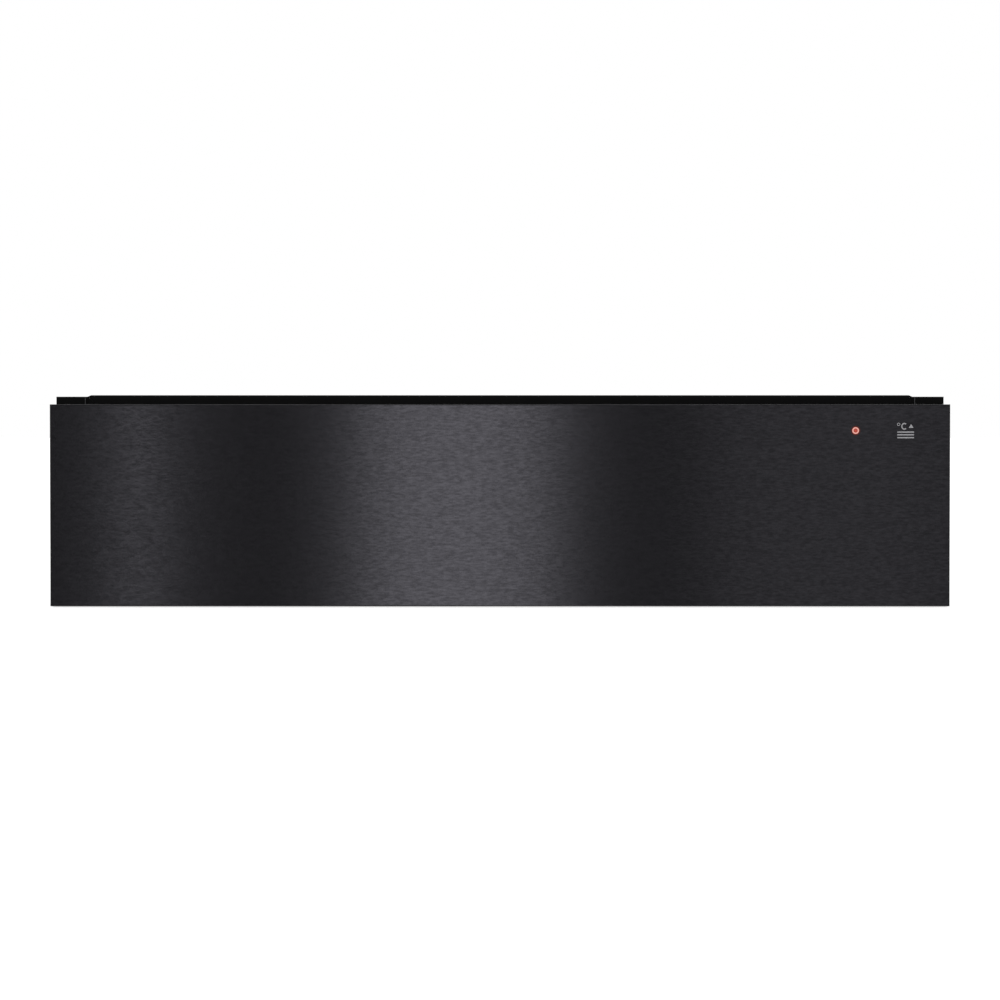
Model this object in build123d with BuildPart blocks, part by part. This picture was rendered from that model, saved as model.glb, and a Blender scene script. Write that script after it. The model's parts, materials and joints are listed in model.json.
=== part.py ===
"""Built-in warming drawer, 595 mm wide, for a 140 mm high niche.

A folded-steel chassis slides into the cabinet. A stainless tub with a brushed black fascia runs in it on
two ball-bearing slides. A convection fan and a ring heater sit behind the tub.

Frame: X to the right seen from the front, Y to the rear, Z up. The origin is the middle of the footprint on
the shelf. Millimetres.
"""

from build123d import *
from math import atan2, cos, degrees, radians, sin
import os

# ------------------------------------------------------------------ driving dimensions: outside
overall_height = 140.0
overall_depth = 570.0
fascia_width = 595.0
fascia_drop = 6.1  # the chassis shows this much above the fascia
fascia_depth = 20.0
fascia_edge_radius = 0.7
fascia_return = 10.0  # inward fold round the back of the fascia
shelf_clearance = 0.4  # fascia above the shelf that the chassis stands on
fascia_gap = 4.5  # between the fascia and the cabinet flange, drawer closed
body_width = 550.0
cabinet_flange = 21.0  # each flange, beyond the body's side
flange_drop = 1.0  # flange top below the chassis top
gland_reach = 10.0  # cable gland behind the rear panel
sheet = 1.0  # all folded sheet
bend = 1.5  # outer radius of a fold

# ------------------------------------------------------------------ driving dimensions: motion
drawer_travel = 420.0
push_travel = 3.0  # the closed front is pushed in this far to release it

# ------------------------------------------------------------------ driving dimensions: front frame
frame_step = 1.0  # the frame stands this far in front of its flanges
stile_border = 6.5
rail_border = 8.0
sill_border = 6.0
frame_return = 12.0
rail_top_return = 14.0
seam = 0.3  # visible joint between two panels
mitre_gap = 0.1  # hairline at the frame's welded mitres
corner_slope = 2.2  # the top rail slopes down to the flange over this length
cabinet_hole = 4.5
cabinet_hole_spacing = 72.0
bumper_diameter = 10.0
bumper_height = 1.2
bumper_spacing = 104.0
bumper_offset = 4.0  # below the middle of the flange

# ------------------------------------------------------------------ driving dimensions: chassis
cover_lip = 14.0
cover_radius = 2.5
pan_lip = 14.0
panel_flange = 12.0
bead_height = 3.0
bead_width = 16.0
bead_taper = 30  # degrees
panel_play = 0.5  # between folded sheets that lie one inside the other
cover_bead_length = 380.0
cover_bead_spacing = 150.0
pan_bead_length = 300.0
pan_bead_spacing = 180.0
vent_slot_length = 34.0
vent_slot_width = 4.0
vent_spacing = 9.0
vent_bank_spacing = 150.0
vent_step_up = 16.0  # the bank over the cable gland

# ------------------------------------------------------------------ driving dimensions: tub
rear_bay = 112.5  # between the tub and the rear panel, drawer closed
tub_bottom = 16.0  # above the shelf
tub_setback = 35.5  # tub front wall behind the fascia
tub_corner = 10.0
tub_foot = 5.0  # radius between wall and floor
rim_side = 8.0
rim_front = 3.0
rim_back = 4.0
window_width = 300.0
window_sill = 13.0  # above the tub foot radius
window_head = 16.0  # below the tub rim
window_corner = 6.0
grille_overlap = 9.0
intake_slots = 20
intake_slot_length = 18.0
intake_slot_width = 2.6
intake_radius = 24.0
outlet_slots = 7
outlet_slot_length = 52.0
outlet_slot_width = 4.0
outlet_spacing = 10.0
outlet_centre = 100.0
hat_inset = 100.0  # fascia bracket centres, from the tub sides
hat_width = 44.0
hat_flange = 16.0
hat_sill = 11.0  # above the tub foot radius
hat_head = 28.0  # below the tub rim
hat_screw_inset = 12.0
mat_thickness = 2.5
mat_margin = 15.0
mat_corner = 10.0
mat_edge = 0.8

# ------------------------------------------------------------------ driving dimensions: deck and controls
deck_clearance = 1.5  # at each side of the frame opening
deck_headroom = 7.0  # under the top rail
deck_skirt = 20.0
deck_overlap = 4.0  # the deck covers the tub rim and ends this far inside the front wall
wheel_radius = 13.0
wheel_width = 11.0
wheel_ribs = 28
wheel_proud = 4.0  # above the deck
wheel_clearance = 0.8
wheel_opening_corner = 1.5
rib_depth = 0.7
rib_width = 1.5
wheel_rim = 3.0
wheel_dish = 2.0
wheel_hub_wall = 2.0
spindle_diameter = 4.0
spindle_seat = 7.0  # length inside the thermostat
spindle_play = 0.5  # at each end of its bores
spindle_cover = 1.0  # wall left over the spindle's right end
control_wall = 1.5
control_end_wall = 3.0  # carries the spindle's right end
control_width = 40.0
control_height = 24.0
control_corner = 2.0
control_play = 0.2  # between the housing and the front
control_side_gap = 0.6  # between the housing and the deck's skirt
thermostat_diameter = 15.0
thermostat_length = 16.0
lamp_inset = 62.5  # from the end of the fascia
lamp_drop = 17.3  # from its top edge
lens_diameter = 5.0
lens_length = 3.0
lens_recess = 0.1  # behind the fascia's face
lens_edge = 0.4
lamp_nose_diameter = 2.5
lamp_nose_recess = 0.1  # behind the lens
lamp_body_diameter = 9.0
lamp_body_length = 12.0
fit_clearance = 0.1  # radial, press-in plastic parts
plastic_edge = 1.0  # chamfers and roundings on moulded pieces

# ------------------------------------------------------------------ driving dimensions: slides
slide_length = 450.0
slide_height = 45.5
slide_thickness = 12.7
slide_sheet = 1.2
slide_rise = 45.0
slide_slot_length = 30.0
slide_slot_width = 8.0
slide_slot_spacing = 105.0
slide_bend_inside = 0.2
lip_step = 0.5  # each member's lips end this much short of the one round it
ball_diameter = 3.2
ball_clearance = 0.05
balls_in_row = 6
ball_spacing = 30.0
cage_length = 180.0
cage_sheet = 0.4
cage_offset = 137.0  # from the slide front to the ball cages, drawer closed
member_gap = 1.0  # between the webs of the outer and the middle member
bracket_height = 60.0
bracket_depth = 10.3
bracket_gap = 4.0  # behind the frame's return

# ------------------------------------------------------------------ driving dimensions: fan heater
housing_width = 240.0
housing_headroom = 15.0
housing_depth = 48.0
housing_corner = 12.0
housing_edge = 4.0
housing_bottom = 11.0
foot_width = 26.0
foot_inset = 34.0
foot_length = 14.0
foot_overlap = 12.0  # spot-welded up the housing's back
housing_shaft_gap = 2.0  # round the shaft
housing_leg_gap = 0.3  # round the heater's ends
post_diameter = 7.0
post_inset = 6.0
post_stud_diameter = 4.0
post_head_height = 2.4
housing_gap = 4.5  # between the tub's rear rim and the housing, drawer closed
ring_gap = 4.75  # inside the housing
ring_tube = 6.5
ring_setback = 22.0  # ring centre behind the housing's open front
ring_open_angle = 50.0
ring_bend = 8.0
terminal_reach = 12.0
heater_stud_diameter = 4.0
heater_stud_length = 10.0
clip_angles = (0.0, 90.0, 180.0)
clip_width = 8.0
clip_corner = 1.0
clip_seat = 0.3
fan_gap = 5.75  # inside the ring heater
fan_blades = 10
fan_blade_height = 20.0
fan_blade_inner = 13.0
fan_blade_thickness = 1.0
fan_blade_sweep = 14.0  # degrees of lead at mid-blade
fan_plate_inset = 1.0  # the back plate ends inside the blade tips
fan_hub_diameter = 16.0
fan_hub_front = 6.0  # in front of the back plate
fan_hub_length = 14.0
fan_nut_width = 10.0
fan_nut_height = 4.4
fan_nut_gap = 0.1  # from the nut to the hub
shaft_end = 0.5  # beyond the nut
shaft_tail = 2.0  # behind the rear strap
fan_setback = 14.0  # blade front edge behind the housing's open front
shaft_diameter = 6.0
shaft_clearance = 0.05
core_width = 60.0  # round the rotor; the coil leg stands beside it
coil_leg = 12.0
coil_window = 5.0
strap_span = 46.0
core_height = 50.0
core_stack = 16.0
core_gap = 22.0  # lamination stack behind the housing's back wall
core_corner = 2.0
rotor_diameter = 22.0
rotor_gap = 0.6
rotor_overhang = 1.0  # at each end of the stack
coil_height = 26.0
coil_build = 4.5  # wound thickness round the leg
coil_leg_gap = 0.3
coil_end_gap = 0.5
coil_corner = 3.0
strap_sheet = 1.5
strap_width = 14.0
strap_stand_off = 8.0
strap_bend_inside = 0.5
bush_wall = 3.0
bush_length = 6.0
cutout_diameter = 16.0
cutout_height = 7.0
cutout_lift = 20.0  # above the fan shaft
tab_spacing = 8.0
tab_width = 6.3
tab_thickness = 0.8
tab_length = 8.0

# ------------------------------------------------------------------ driving dimensions: rear fittings
gland_inset = 63.0  # from the inside of the side panel
gland_z = 28.0
cord_bore = 8.6
gland_hole = 16.0
gland_flange = 24.0
gland_flange_thickness = 3.5
gland_chamfer_depth = 1.5
gland_chamfer_height = 2.5
gland_nose_wall = 2.0
gland_nut_width = 22.0
gland_nut_thickness = 5.0
gland_inside = 12.0
terminal_width = 36.0
terminal_depth = 24.0
terminal_height = 18.0
terminal_gap = 12.0  # in front of the gland's inner end
terminal_ways = 3
terminal_well = 5.2
terminal_well_depth = 6.0
loom_gap = 6.0  # behind the heater's ends
loom_lift = 0.3  # above the base pan
latch_gap = 29.0  # beside the fan housing
latch_width = 26.0
latch_length = 56.0
latch_height = 20.0
latch_corner = 3.0
latch_edge = 1.5
latch_front_gap = 1.5  # behind the pushed-in tub
latch_slot_spare = 10.0
striker_width = 18.0
striker_height = 40.0
tongue_z = 12.0
tongue_width = 6.0
tongue_clearance = 1.0
tongue_length = 34.0
harness_diameter = 5.0
harness_drop = 10.5  # below the control housing
harness_stand_off = 6.0  # from the tub wall
harness_end_gap = 22.0
harness_bend = 10.0
connector_width = 10.0
connector_length = 14.0
connector_corner = 1.0
harness_clip_spacing = 120.0
clip_length = 8.0
clip_wall = 1.2
loom_reach = 40.0

# ------------------------------------------------------------------ driving dimensions: fasteners
head_height = 2.0
head_taper = 20  # degrees
screw_diameter = 4.0
screw_hole = 4.4
small_screw = 3.0
small_hole = 3.4
rivet_diameter = 3.2
rivet_hole = 3.5
cover_back_spacing = 200.0
cover_side_spacing = 300.0
rivet_spacing = 180.0
slide_screw_spacing = 140.0

# ------------------------------------------------------------------ planes and places worked out
front_y = -overall_depth / 2
fascia_back_y = front_y + fascia_depth
flange_front_y = fascia_back_y + fascia_gap
seat_y = flange_front_y + sheet  # the cabinet's front edge lies here
frame_front_y = flange_front_y - frame_step
frame_back_y = frame_front_y + sheet
body_back_y = overall_depth / 2 - gland_reach
cover_front_y = frame_front_y + rail_top_return + seam
rear_panel_y = body_back_y - 2 * sheet  # front face of the rear panel
rear_panel_height = overall_height - cover_radius - panel_play
body_half = body_width / 2
side_outer_x = body_half - sheet  # outer face of a side panel
side_inner_x = side_outer_x - sheet
opening_half = body_half - stile_border
opening_top = overall_height - rail_border
opening_bottom = sill_border
flange_outer_x = body_half + cabinet_flange
flange_hole_x = body_half + cabinet_flange / 2
flange_mid_z = overall_height / 2
fascia_bottom = shelf_clearance
fascia_top = overall_height - fascia_drop
fascia_height = fascia_top - fascia_bottom
fascia_mid_z = fascia_bottom + fascia_height / 2

deck_top = opening_top - deck_headroom
deck_half = opening_half - deck_clearance
tub_front_y = fascia_back_y + tub_setback
tub_back_y = rear_panel_y - rear_bay
tub_depth = tub_back_y - tub_front_y
tub_mid_y = (tub_front_y + tub_back_y) / 2
tub_half = side_inner_x - bracket_depth - slide_thickness
tub_width = 2 * tub_half
tub_top = deck_top - sheet
tub_height = tub_top - tub_bottom
rim_back_y = tub_back_y + rim_back
window_bottom = tub_bottom + tub_foot + window_sill
window_height = tub_top - window_head - window_bottom
window_z = window_bottom + window_height / 2
backing_back_y = fascia_back_y - sheet
deck_back_y = tub_front_y + deck_overlap
hat_x = tub_half - hat_inset
hat_bottom = tub_bottom + tub_foot + hat_sill
hat_height = tub_top - hat_head - hat_bottom
lamp_x = fascia_width / 2 - lamp_inset
lamp_z = fascia_top - lamp_drop

housing_height = overall_height - housing_headroom - housing_bottom
ring_radius = housing_height / 2 - sheet - ring_gap - ring_tube / 2
fan_radius = ring_radius - ring_tube / 2 - fan_gap
housing_front_y = rim_back_y + housing_gap
housing_back_y = housing_front_y + housing_depth
fan_z = housing_bottom + housing_height / 2
slide_front_y = flange_front_y + bend + 2 * sheet
slide_z = slide_rise
gland_x = side_inner_x - gland_inset
latch_x = housing_width / 2 + latch_gap + latch_width / 2
slide_screw_y = [tub_mid_y + step * slide_screw_spacing for step in (-1, 0, 1)]
cage_start = slide_front_y + cage_offset
harness_z = tub_top - control_height - harness_drop
cover_mid_y = (cover_front_y + body_back_y) / 2
cover_back_screws = [step * cover_back_spacing for step in (-1, 0, 1)]
cover_side_screws = [cover_mid_y + step * cover_side_spacing / 2 for step in (-1, 1)]
rivet_rows = [tub_mid_y + step * rivet_spacing for step in (-1, 0, 1)]
cover_screw_z = overall_height - cover_lip / 2
pan_rivet_z = (sheet + pan_lip) / 2
bracket_rivet_step = (slide_height + bracket_height) / 4 + sheet / 2


# ------------------------------------------------------------------ helpers
def facing(y):
    """The plane at y that faces the user: local x is X, local y is Z. extrude(amount=-d) runs to the rear."""
    return Plane.XZ.offset(-y)


def fold(points, side=Side.LEFT, thickness=sheet, radius=bend):
    """Adds a folded strip of sheet to the sketch: points run along one surface, the metal lies on side."""
    with BuildLine() as surface:
        FilletPolyline(*points, radius=radius)
        offset(amount=thickness, side=side)
    make_face(surface.line.edges())


def save(part, name):
    part.label = name
    export_step(part, f"parts/{name}.step")


def save_pair(part, name):
    """Writes a right-hand piece and its mirror image."""
    save(part, f"{name}_right")
    with BuildPart() as other_hand:
        mirror(part, about=Plane.YZ)
    save(other_hand.part, f"{name}_left")


os.makedirs("parts", exist_ok=True)

# ================================================================== chassis: folded body
# Base pan: a shallow channel with pressed stiffening beads and motor vents.
pan_half = side_inner_x
with BuildPart() as base_pan:
    with BuildSketch(facing(frame_back_y)):
        fold([(-pan_half, pan_lip), (-pan_half, 0), (pan_half, 0), (pan_half, pan_lip)])
    extrude(amount=-(rear_panel_y - frame_back_y))
    pan_beads = [(step * pan_bead_spacing, tub_mid_y) for step in (-1, -0.5, 0.5, 1)]
    with BuildSketch(Plane.XY.offset(sheet)):
        with Locations(*pan_beads):
            SlotOverall(pan_bead_length, bead_width, rotation=90)
    extrude(amount=bead_height, taper=bead_taper)
    with BuildSketch(Plane.XY):
        with Locations(*pan_beads):
            SlotOverall(pan_bead_length - 2 * sheet, bead_width - 2 * sheet, rotation=90)
    extrude(amount=bead_height, taper=bead_taper, mode=Mode.SUBTRACT)
    with BuildSketch(Plane.XY):
        with Locations((0, (housing_back_y + rear_panel_y) / 2)):
            with GridLocations(vent_spacing, 1, 9, 1):
                SlotOverall(vent_slot_length, vent_slot_width, rotation=90)
    extrude(amount=sheet, mode=Mode.SUBTRACT)
    with BuildSketch(Plane.YZ.offset(-pan_half)):
        with Locations(*[(y, pan_rivet_z) for y in rivet_rows]):
            Circle(rivet_hole / 2)
    extrude(amount=2 * pan_half, mode=Mode.SUBTRACT)
save(base_pan.part, "base_pan")

# Side panel, right: an upright web with an inward top flange; it carries a slide and lets motor air in.
with BuildPart() as side_panel:
    with BuildSketch(facing(seat_y)):
        fold(
            [
                (side_outer_x, 0),
                (side_outer_x, overall_height - sheet),
                (side_outer_x - panel_flange, overall_height - sheet),
            ],
            radius=cover_radius - sheet + panel_play,
        )
    extrude(amount=-(body_back_y - sheet - seat_y))
    with BuildSketch(Plane.YZ.offset(side_inner_x)):
        with Locations(((housing_front_y + rear_panel_y) / 2, fan_z)):
            with GridLocations(vent_spacing, 1, 8, 1):
                SlotOverall(vent_slot_length, vent_slot_width, rotation=90)
        for z in (pan_rivet_z, slide_z - bracket_rivet_step, slide_z + bracket_rivet_step):
            with Locations(*[(y, z) for y in rivet_rows]):
                Circle(rivet_hole / 2)
        with Locations(*[(y, cover_screw_z) for y in cover_side_screws]):
            Circle(screw_hole / 2)
    extrude(amount=sheet, mode=Mode.SUBTRACT)
    with BuildSketch(Plane.XY.offset(rear_panel_height)):
        with Locations((side_outer_x - panel_flange, body_back_y)):
            Rectangle(3 * panel_flange, 2 * cover_radius)
    extrude(amount=overall_height - rear_panel_height, mode=Mode.SUBTRACT)
save_pair(side_panel.part, "side_panel")

# Rear panel: side lips inside the side panels, three banks of vents and the hole for the cable gland.
with BuildPart() as rear_panel:
    with BuildSketch(Plane.XY):
        lip_y = rear_panel_y + sheet - panel_flange
        back = rear_panel_y + sheet
        fold([(-pan_half, lip_y), (-pan_half, back), (pan_half, back), (pan_half, lip_y)], Side.RIGHT)
    extrude(amount=rear_panel_height)
    with BuildSketch(facing(lip_y)):
        with Locations((-pan_half, 0), (pan_half, 0)):
            Rectangle(2 * bend, 2 * (pan_lip + seam))
    extrude(amount=-(panel_flange - sheet), mode=Mode.SUBTRACT)
    with BuildSketch(facing(rear_panel_y)):
        with Locations(
            (-vent_bank_spacing, fan_z), (0, fan_z), (vent_bank_spacing, fan_z + vent_step_up)
        ):
            with GridLocations(vent_spacing, 1, 9, 1):
                SlotOverall(vent_slot_length, vent_slot_width, rotation=90)
        with Locations((gland_x, gland_z)):
            Circle(gland_hole / 2 + fit_clearance)
        with Locations(*[(x, cover_screw_z) for x in cover_back_screws]):
            Circle(screw_hole / 2)
    extrude(amount=-sheet, mode=Mode.SUBTRACT)
save(rear_panel.part, "rear_panel")

# Top cover: a shallow lid over the sides and the back, open towards the front rail, with sunken beads.
cover_depth = body_back_y - cover_front_y
with BuildPart() as top_cover:
    with BuildSketch(Plane.XY.offset(overall_height - cover_lip)):
        with Locations((0, cover_mid_y)):
            Rectangle(body_width, cover_depth)
    extrude(amount=cover_lip)
    long_edges = top_cover.faces().sort_by(Axis.Z)[-1].edges().filter_by(Axis.Y)
    back_edge = top_cover.faces().sort_by(Axis.Z)[-1].edges().sort_by(Axis.Y)[-1]
    fillet([*long_edges, back_edge], cover_radius)
    underside = top_cover.faces().sort_by(Axis.Z)[0]
    front_end = top_cover.faces().sort_by(Axis.Y)[0]
    offset(amount=-sheet, openings=[underside, front_end])
    with BuildSketch(Plane.XY.offset(overall_height - sheet)):
        with Locations((0, cover_mid_y)):
            with GridLocations(cover_bead_spacing, 1, 3, 1):
                SlotOverall(cover_bead_length, bead_width, rotation=90)
    extrude(amount=-bead_height, taper=bead_taper)
    with BuildSketch(Plane.XY.offset(overall_height)):
        with Locations((0, cover_mid_y)):
            with GridLocations(cover_bead_spacing, 1, 3, 1):
                SlotOverall(cover_bead_length - 2 * sheet, bead_width - 2 * sheet, rotation=90)
    extrude(amount=-bead_height, taper=bead_taper, mode=Mode.SUBTRACT)
    with BuildSketch(facing(body_back_y - sheet)):
        with Locations(*[(x, cover_screw_z) for x in cover_back_screws]):
            Circle(screw_hole / 2)
    extrude(amount=-sheet, mode=Mode.SUBTRACT)
    with BuildSketch(Plane.YZ.offset(-body_half)):
        with Locations(*[(y, cover_screw_z) for y in cover_side_screws]):
            Circle(screw_hole / 2)
    extrude(amount=body_width, mode=Mode.SUBTRACT)
save(top_cover.part, "top_cover")

# ================================================================== chassis: black front frame
top_mitre = Plane(
    origin=(body_half, 0, overall_height), x_dir=(0, 1, 0), z_dir=(rail_border, 0, -stile_border)
)
sill_mitre = Plane(origin=(body_half, 0, 0), x_dir=(0, 1, 0), z_dir=(sill_border, 0, stile_border))

# The frame's top edge is cut away above this line: it slopes down to the flanges.
with BuildSketch(facing(frame_front_y)) as above_slope:
    with BuildLine():
        Polyline(
            (body_half - corner_slope, overall_height),
            (body_half, overall_height - flange_drop),
            (flange_outer_x + bend, overall_height - flange_drop),
            (flange_outer_x + bend, overall_height + bend),
            (body_half - corner_slope, overall_height + bend),
            close=True,
        )
    make_face()

# Top rail: a channel with mitred ends.
with BuildPart() as frame_top_rail:
    with BuildSketch(Plane.YZ):
        fold(
            [
                (frame_front_y + rail_top_return, overall_height),
                (frame_front_y, overall_height),
                (frame_front_y, opening_top),
                (frame_front_y + frame_return, opening_top),
            ]
        )
    extrude(amount=body_half)
    split(bisect_by=top_mitre.offset(-mitre_gap / 2), keep=Keep.BOTTOM)
    extrude(above_slope.sketch, amount=-rail_top_return, mode=Mode.SUBTRACT)
    mirror(about=Plane.YZ)
save(frame_top_rail.part, "frame_top_rail")

# Sill: a low angle across the foot of the opening.
with BuildPart() as frame_sill:
    with BuildSketch(Plane.YZ):
        fold(
            [
                (frame_front_y + frame_return, opening_bottom),
                (frame_front_y, opening_bottom),
                (frame_front_y, 0),
            ]
        )
    extrude(amount=body_half)
    split(bisect_by=sill_mitre.offset(-mitre_gap / 2), keep=Keep.BOTTOM)
    mirror(about=Plane.YZ)
save(frame_sill.part, "frame_sill")

# Stile, right: the cabinet flange, a small step forward, the frame border and its return into the opening.
with BuildPart() as frame_stile:
    with BuildSketch(Plane.XY.offset(seam)):
        fold(
            [
                (flange_outer_x, flange_front_y),
                (body_half + bend, flange_front_y),
                (body_half - frame_step, frame_front_y),
                (opening_half, frame_front_y),
                (opening_half, frame_front_y + frame_return),
            ],
            Side.RIGHT,
        )
    extrude(amount=overall_height - seam)
    split(bisect_by=top_mitre.offset(mitre_gap / 2), keep=Keep.TOP)
    split(bisect_by=sill_mitre.offset(mitre_gap / 2), keep=Keep.TOP)
    extrude(above_slope.sketch, amount=-rail_top_return, mode=Mode.SUBTRACT)
    with BuildSketch(facing(flange_front_y)):
        with Locations((flange_hole_x, flange_mid_z)):
            with GridLocations(1, cabinet_hole_spacing, 1, 2):
                Circle(cabinet_hole / 2)
    extrude(amount=-sheet, mode=Mode.SUBTRACT)
save_pair(frame_stile.part, "frame_stile")

# Rubber bumpers on the flanges: the pushed-in fascia stops just short of them.
with BuildPart() as bumper_pads:
    with BuildSketch(facing(flange_front_y)):
        with Locations((0, flange_mid_z - bumper_offset)):
            with GridLocations(2 * flange_hole_x, bumper_spacing, 2, 2):
                Circle(bumper_diameter / 2)
    extrude(amount=bumper_height)
    chamfer(bumper_pads.faces().group_by(Axis.Y)[0].edges(), bumper_height / 3)
save(bumper_pads.part, "bumper_pads")

# ================================================================== telescopic ball slides, right hand
# u runs from the chassis side towards the drawer; u = 0 is the back of the outer member.
slide_back_x = tub_half + slide_thickness
outer_inside = slide_height / 2 - slide_sheet  # race of the outer member
outer_ball_row = outer_inside - ball_clearance - ball_diameter / 2
middle_half = outer_ball_row - ball_diameter / 2 - ball_clearance
inner_ball_row = middle_half - slide_sheet - ball_clearance - ball_diameter / 2
inner_half = inner_ball_row - ball_diameter / 2 - ball_clearance
middle_back = slide_sheet + member_gap
cage_back = slide_sheet + (member_gap - cage_sheet) / 2
ball_u = slide_thickness / 2
inner_cage_back = middle_back + slide_sheet + (member_gap - cage_sheet) / 2
inner_tip = inner_cage_back + cage_sheet + lip_step
slide_lip_u = slide_thickness - slide_sheet - lip_step  # front edge of the outer and middle members


def slide_channel(back_u, tip_u, half, thickness, side):
    """A channel profile: web at back_u, flanges to tip_u, outer height 2 * half."""
    x_back = slide_back_x - back_u
    x_tip = slide_back_x - tip_u
    fold(
        [
            (x_tip, slide_z - half),
            (x_back, slide_z - half),
            (x_back, slide_z + half),
            (x_tip, slide_z + half),
        ],
        side,
        thickness,
        thickness + slide_bend_inside,
    )


with BuildPart() as slide_outer:
    with BuildSketch(facing(slide_front_y)):
        slide_channel(0, slide_lip_u, slide_height / 2, slide_sheet, Side.LEFT)
    extrude(amount=-slide_length)
save_pair(slide_outer.part, "slide_outer")

with BuildPart() as slide_middle:
    with BuildSketch(facing(slide_front_y)):
        slide_channel(middle_back, slide_lip_u - lip_step, middle_half, slide_sheet, Side.LEFT)
    extrude(amount=-slide_length)
    with BuildSketch(Plane.YZ.offset(slide_back_x - middle_back)):
        with Locations((slide_front_y + slide_length / 2, slide_z)):
            with GridLocations(slide_slot_spacing, 1, 4, 1):
                SlotOverall(slide_slot_length, slide_slot_width)
    extrude(amount=-slide_sheet, mode=Mode.SUBTRACT)
save_pair(slide_middle.part, "slide_middle")

with BuildPart() as slide_inner:
    with BuildSketch(facing(slide_front_y)):
        slide_channel(slide_thickness, inner_tip, inner_half, slide_sheet, Side.RIGHT)
    extrude(amount=-slide_length)
    with BuildSketch(Plane.YZ.offset(tub_half)):
        with Locations(*[(y, slide_z) for y in slide_screw_y]):
            Circle(screw_hole / 2)
    extrude(amount=slide_sheet, mode=Mode.SUBTRACT)
save_pair(slide_inner.part, "slide_inner")


def ball_cage(back_u, row, name):
    """A thin channel with two rows of balls trapped in its holes."""
    first_ball = cage_start + cage_length / 2 - (balls_in_row - 1) / 2 * ball_spacing
    ball_y = [first_ball + i * ball_spacing for i in range(balls_in_row)]
    ball_x = slide_back_x - ball_u
    with BuildPart() as cage:
        with BuildSketch(facing(cage_start)):
            slide_channel(back_u, slide_lip_u - 2 * lip_step, row + cage_sheet / 2, cage_sheet, Side.LEFT)
        extrude(amount=-cage_length)
        with BuildSketch(Plane.XY.offset(slide_z - row - cage_sheet)):
            with Locations(*[(ball_x, y) for y in ball_y]):
                Circle(ball_diameter / 2 + fit_clearance)
        extrude(amount=2 * (row + cage_sheet), mode=Mode.SUBTRACT)
        with Locations(*[(ball_x, y, slide_z + s * row) for y in ball_y for s in (-1, 1)]):
            Sphere(ball_diameter / 2)
    save_pair(cage.part, name)


ball_cage(cage_back, outer_ball_row, "ball_cage_outer")
ball_cage(inner_cage_back, inner_ball_row, "ball_cage_inner")

# Slide bracket, right: a hat section that fills the space between the side panel and the slide.
bracket_start_y = frame_front_y + frame_return + bracket_gap
with BuildPart() as slide_bracket:
    with BuildSketch(facing(bracket_start_y)):
        fold(
            [
                (side_inner_x, slide_z - bracket_height / 2),
                (side_inner_x, slide_z - slide_height / 2),
                (slide_back_x + sheet, slide_z - slide_height / 2),
                (slide_back_x + sheet, slide_z + slide_height / 2),
                (side_inner_x, slide_z + slide_height / 2),
                (side_inner_x, slide_z + bracket_height / 2),
            ]
        )
    extrude(amount=-(slide_front_y + slide_length - bracket_start_y))
    with BuildSketch(Plane.YZ.offset(side_inner_x)):
        for z in (slide_z - bracket_rivet_step, slide_z + bracket_rivet_step):
            with Locations(*[(y, z) for y in rivet_rows]):
                Circle(rivet_hole / 2)
    extrude(amount=-sheet, mode=Mode.SUBTRACT)
save_pair(slide_bracket.part, "slide_bracket")

# ================================================================== fan heater behind the tub
# Housing: a pressed pan, open to the tub, on two feet, with holes for the shaft and the heater ends.
housing_mid_y = (housing_front_y + housing_back_y) / 2
ring_y = housing_front_y + ring_setback
end_angle = radians(270 - ring_open_angle / 2)
ring_end = Vector(ring_radius * cos(end_angle), ring_y, fan_z + ring_radius * sin(end_angle))
end_direction = Vector(-sin(end_angle), 0, cos(end_angle))
leg_start = ring_end + end_direction * ring_bend + Vector(0, ring_bend, 0)
foot_x = housing_width / 2 - foot_inset
post_x = core_width / 2 - post_diameter
with BuildPart() as fan_housing:
    with BuildSketch(facing(housing_front_y)):
        with Locations((0, fan_z)):
            RectangleRounded(housing_width, housing_height, housing_corner)
    extrude(amount=-housing_depth)
    fillet(fan_housing.faces().sort_by(Axis.Y)[-1].edges(), housing_edge)
    offset(amount=-sheet, openings=fan_housing.faces().sort_by(Axis.Y)[0])
    for x in (-foot_x, foot_x):
        with BuildSketch(Plane.YZ.offset(x - foot_width / 2)):
            fold(
                [
                    (housing_back_y + foot_length, sheet),
                    (housing_back_y, sheet),
                    (housing_back_y, housing_bottom + foot_overlap),
                ],
                Side.RIGHT,
            )
        extrude(amount=foot_width)
    with BuildSketch(facing(housing_back_y - sheet)):
        with Locations((0, fan_z)):
            Circle(shaft_diameter / 2 + housing_shaft_gap)
        with Locations((leg_start.X, leg_start.Z), (-leg_start.X, leg_start.Z)):
            Circle(ring_tube / 2 + housing_leg_gap)
    extrude(amount=-sheet, mode=Mode.SUBTRACT)
save(fan_housing.part, "fan_housing")

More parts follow.
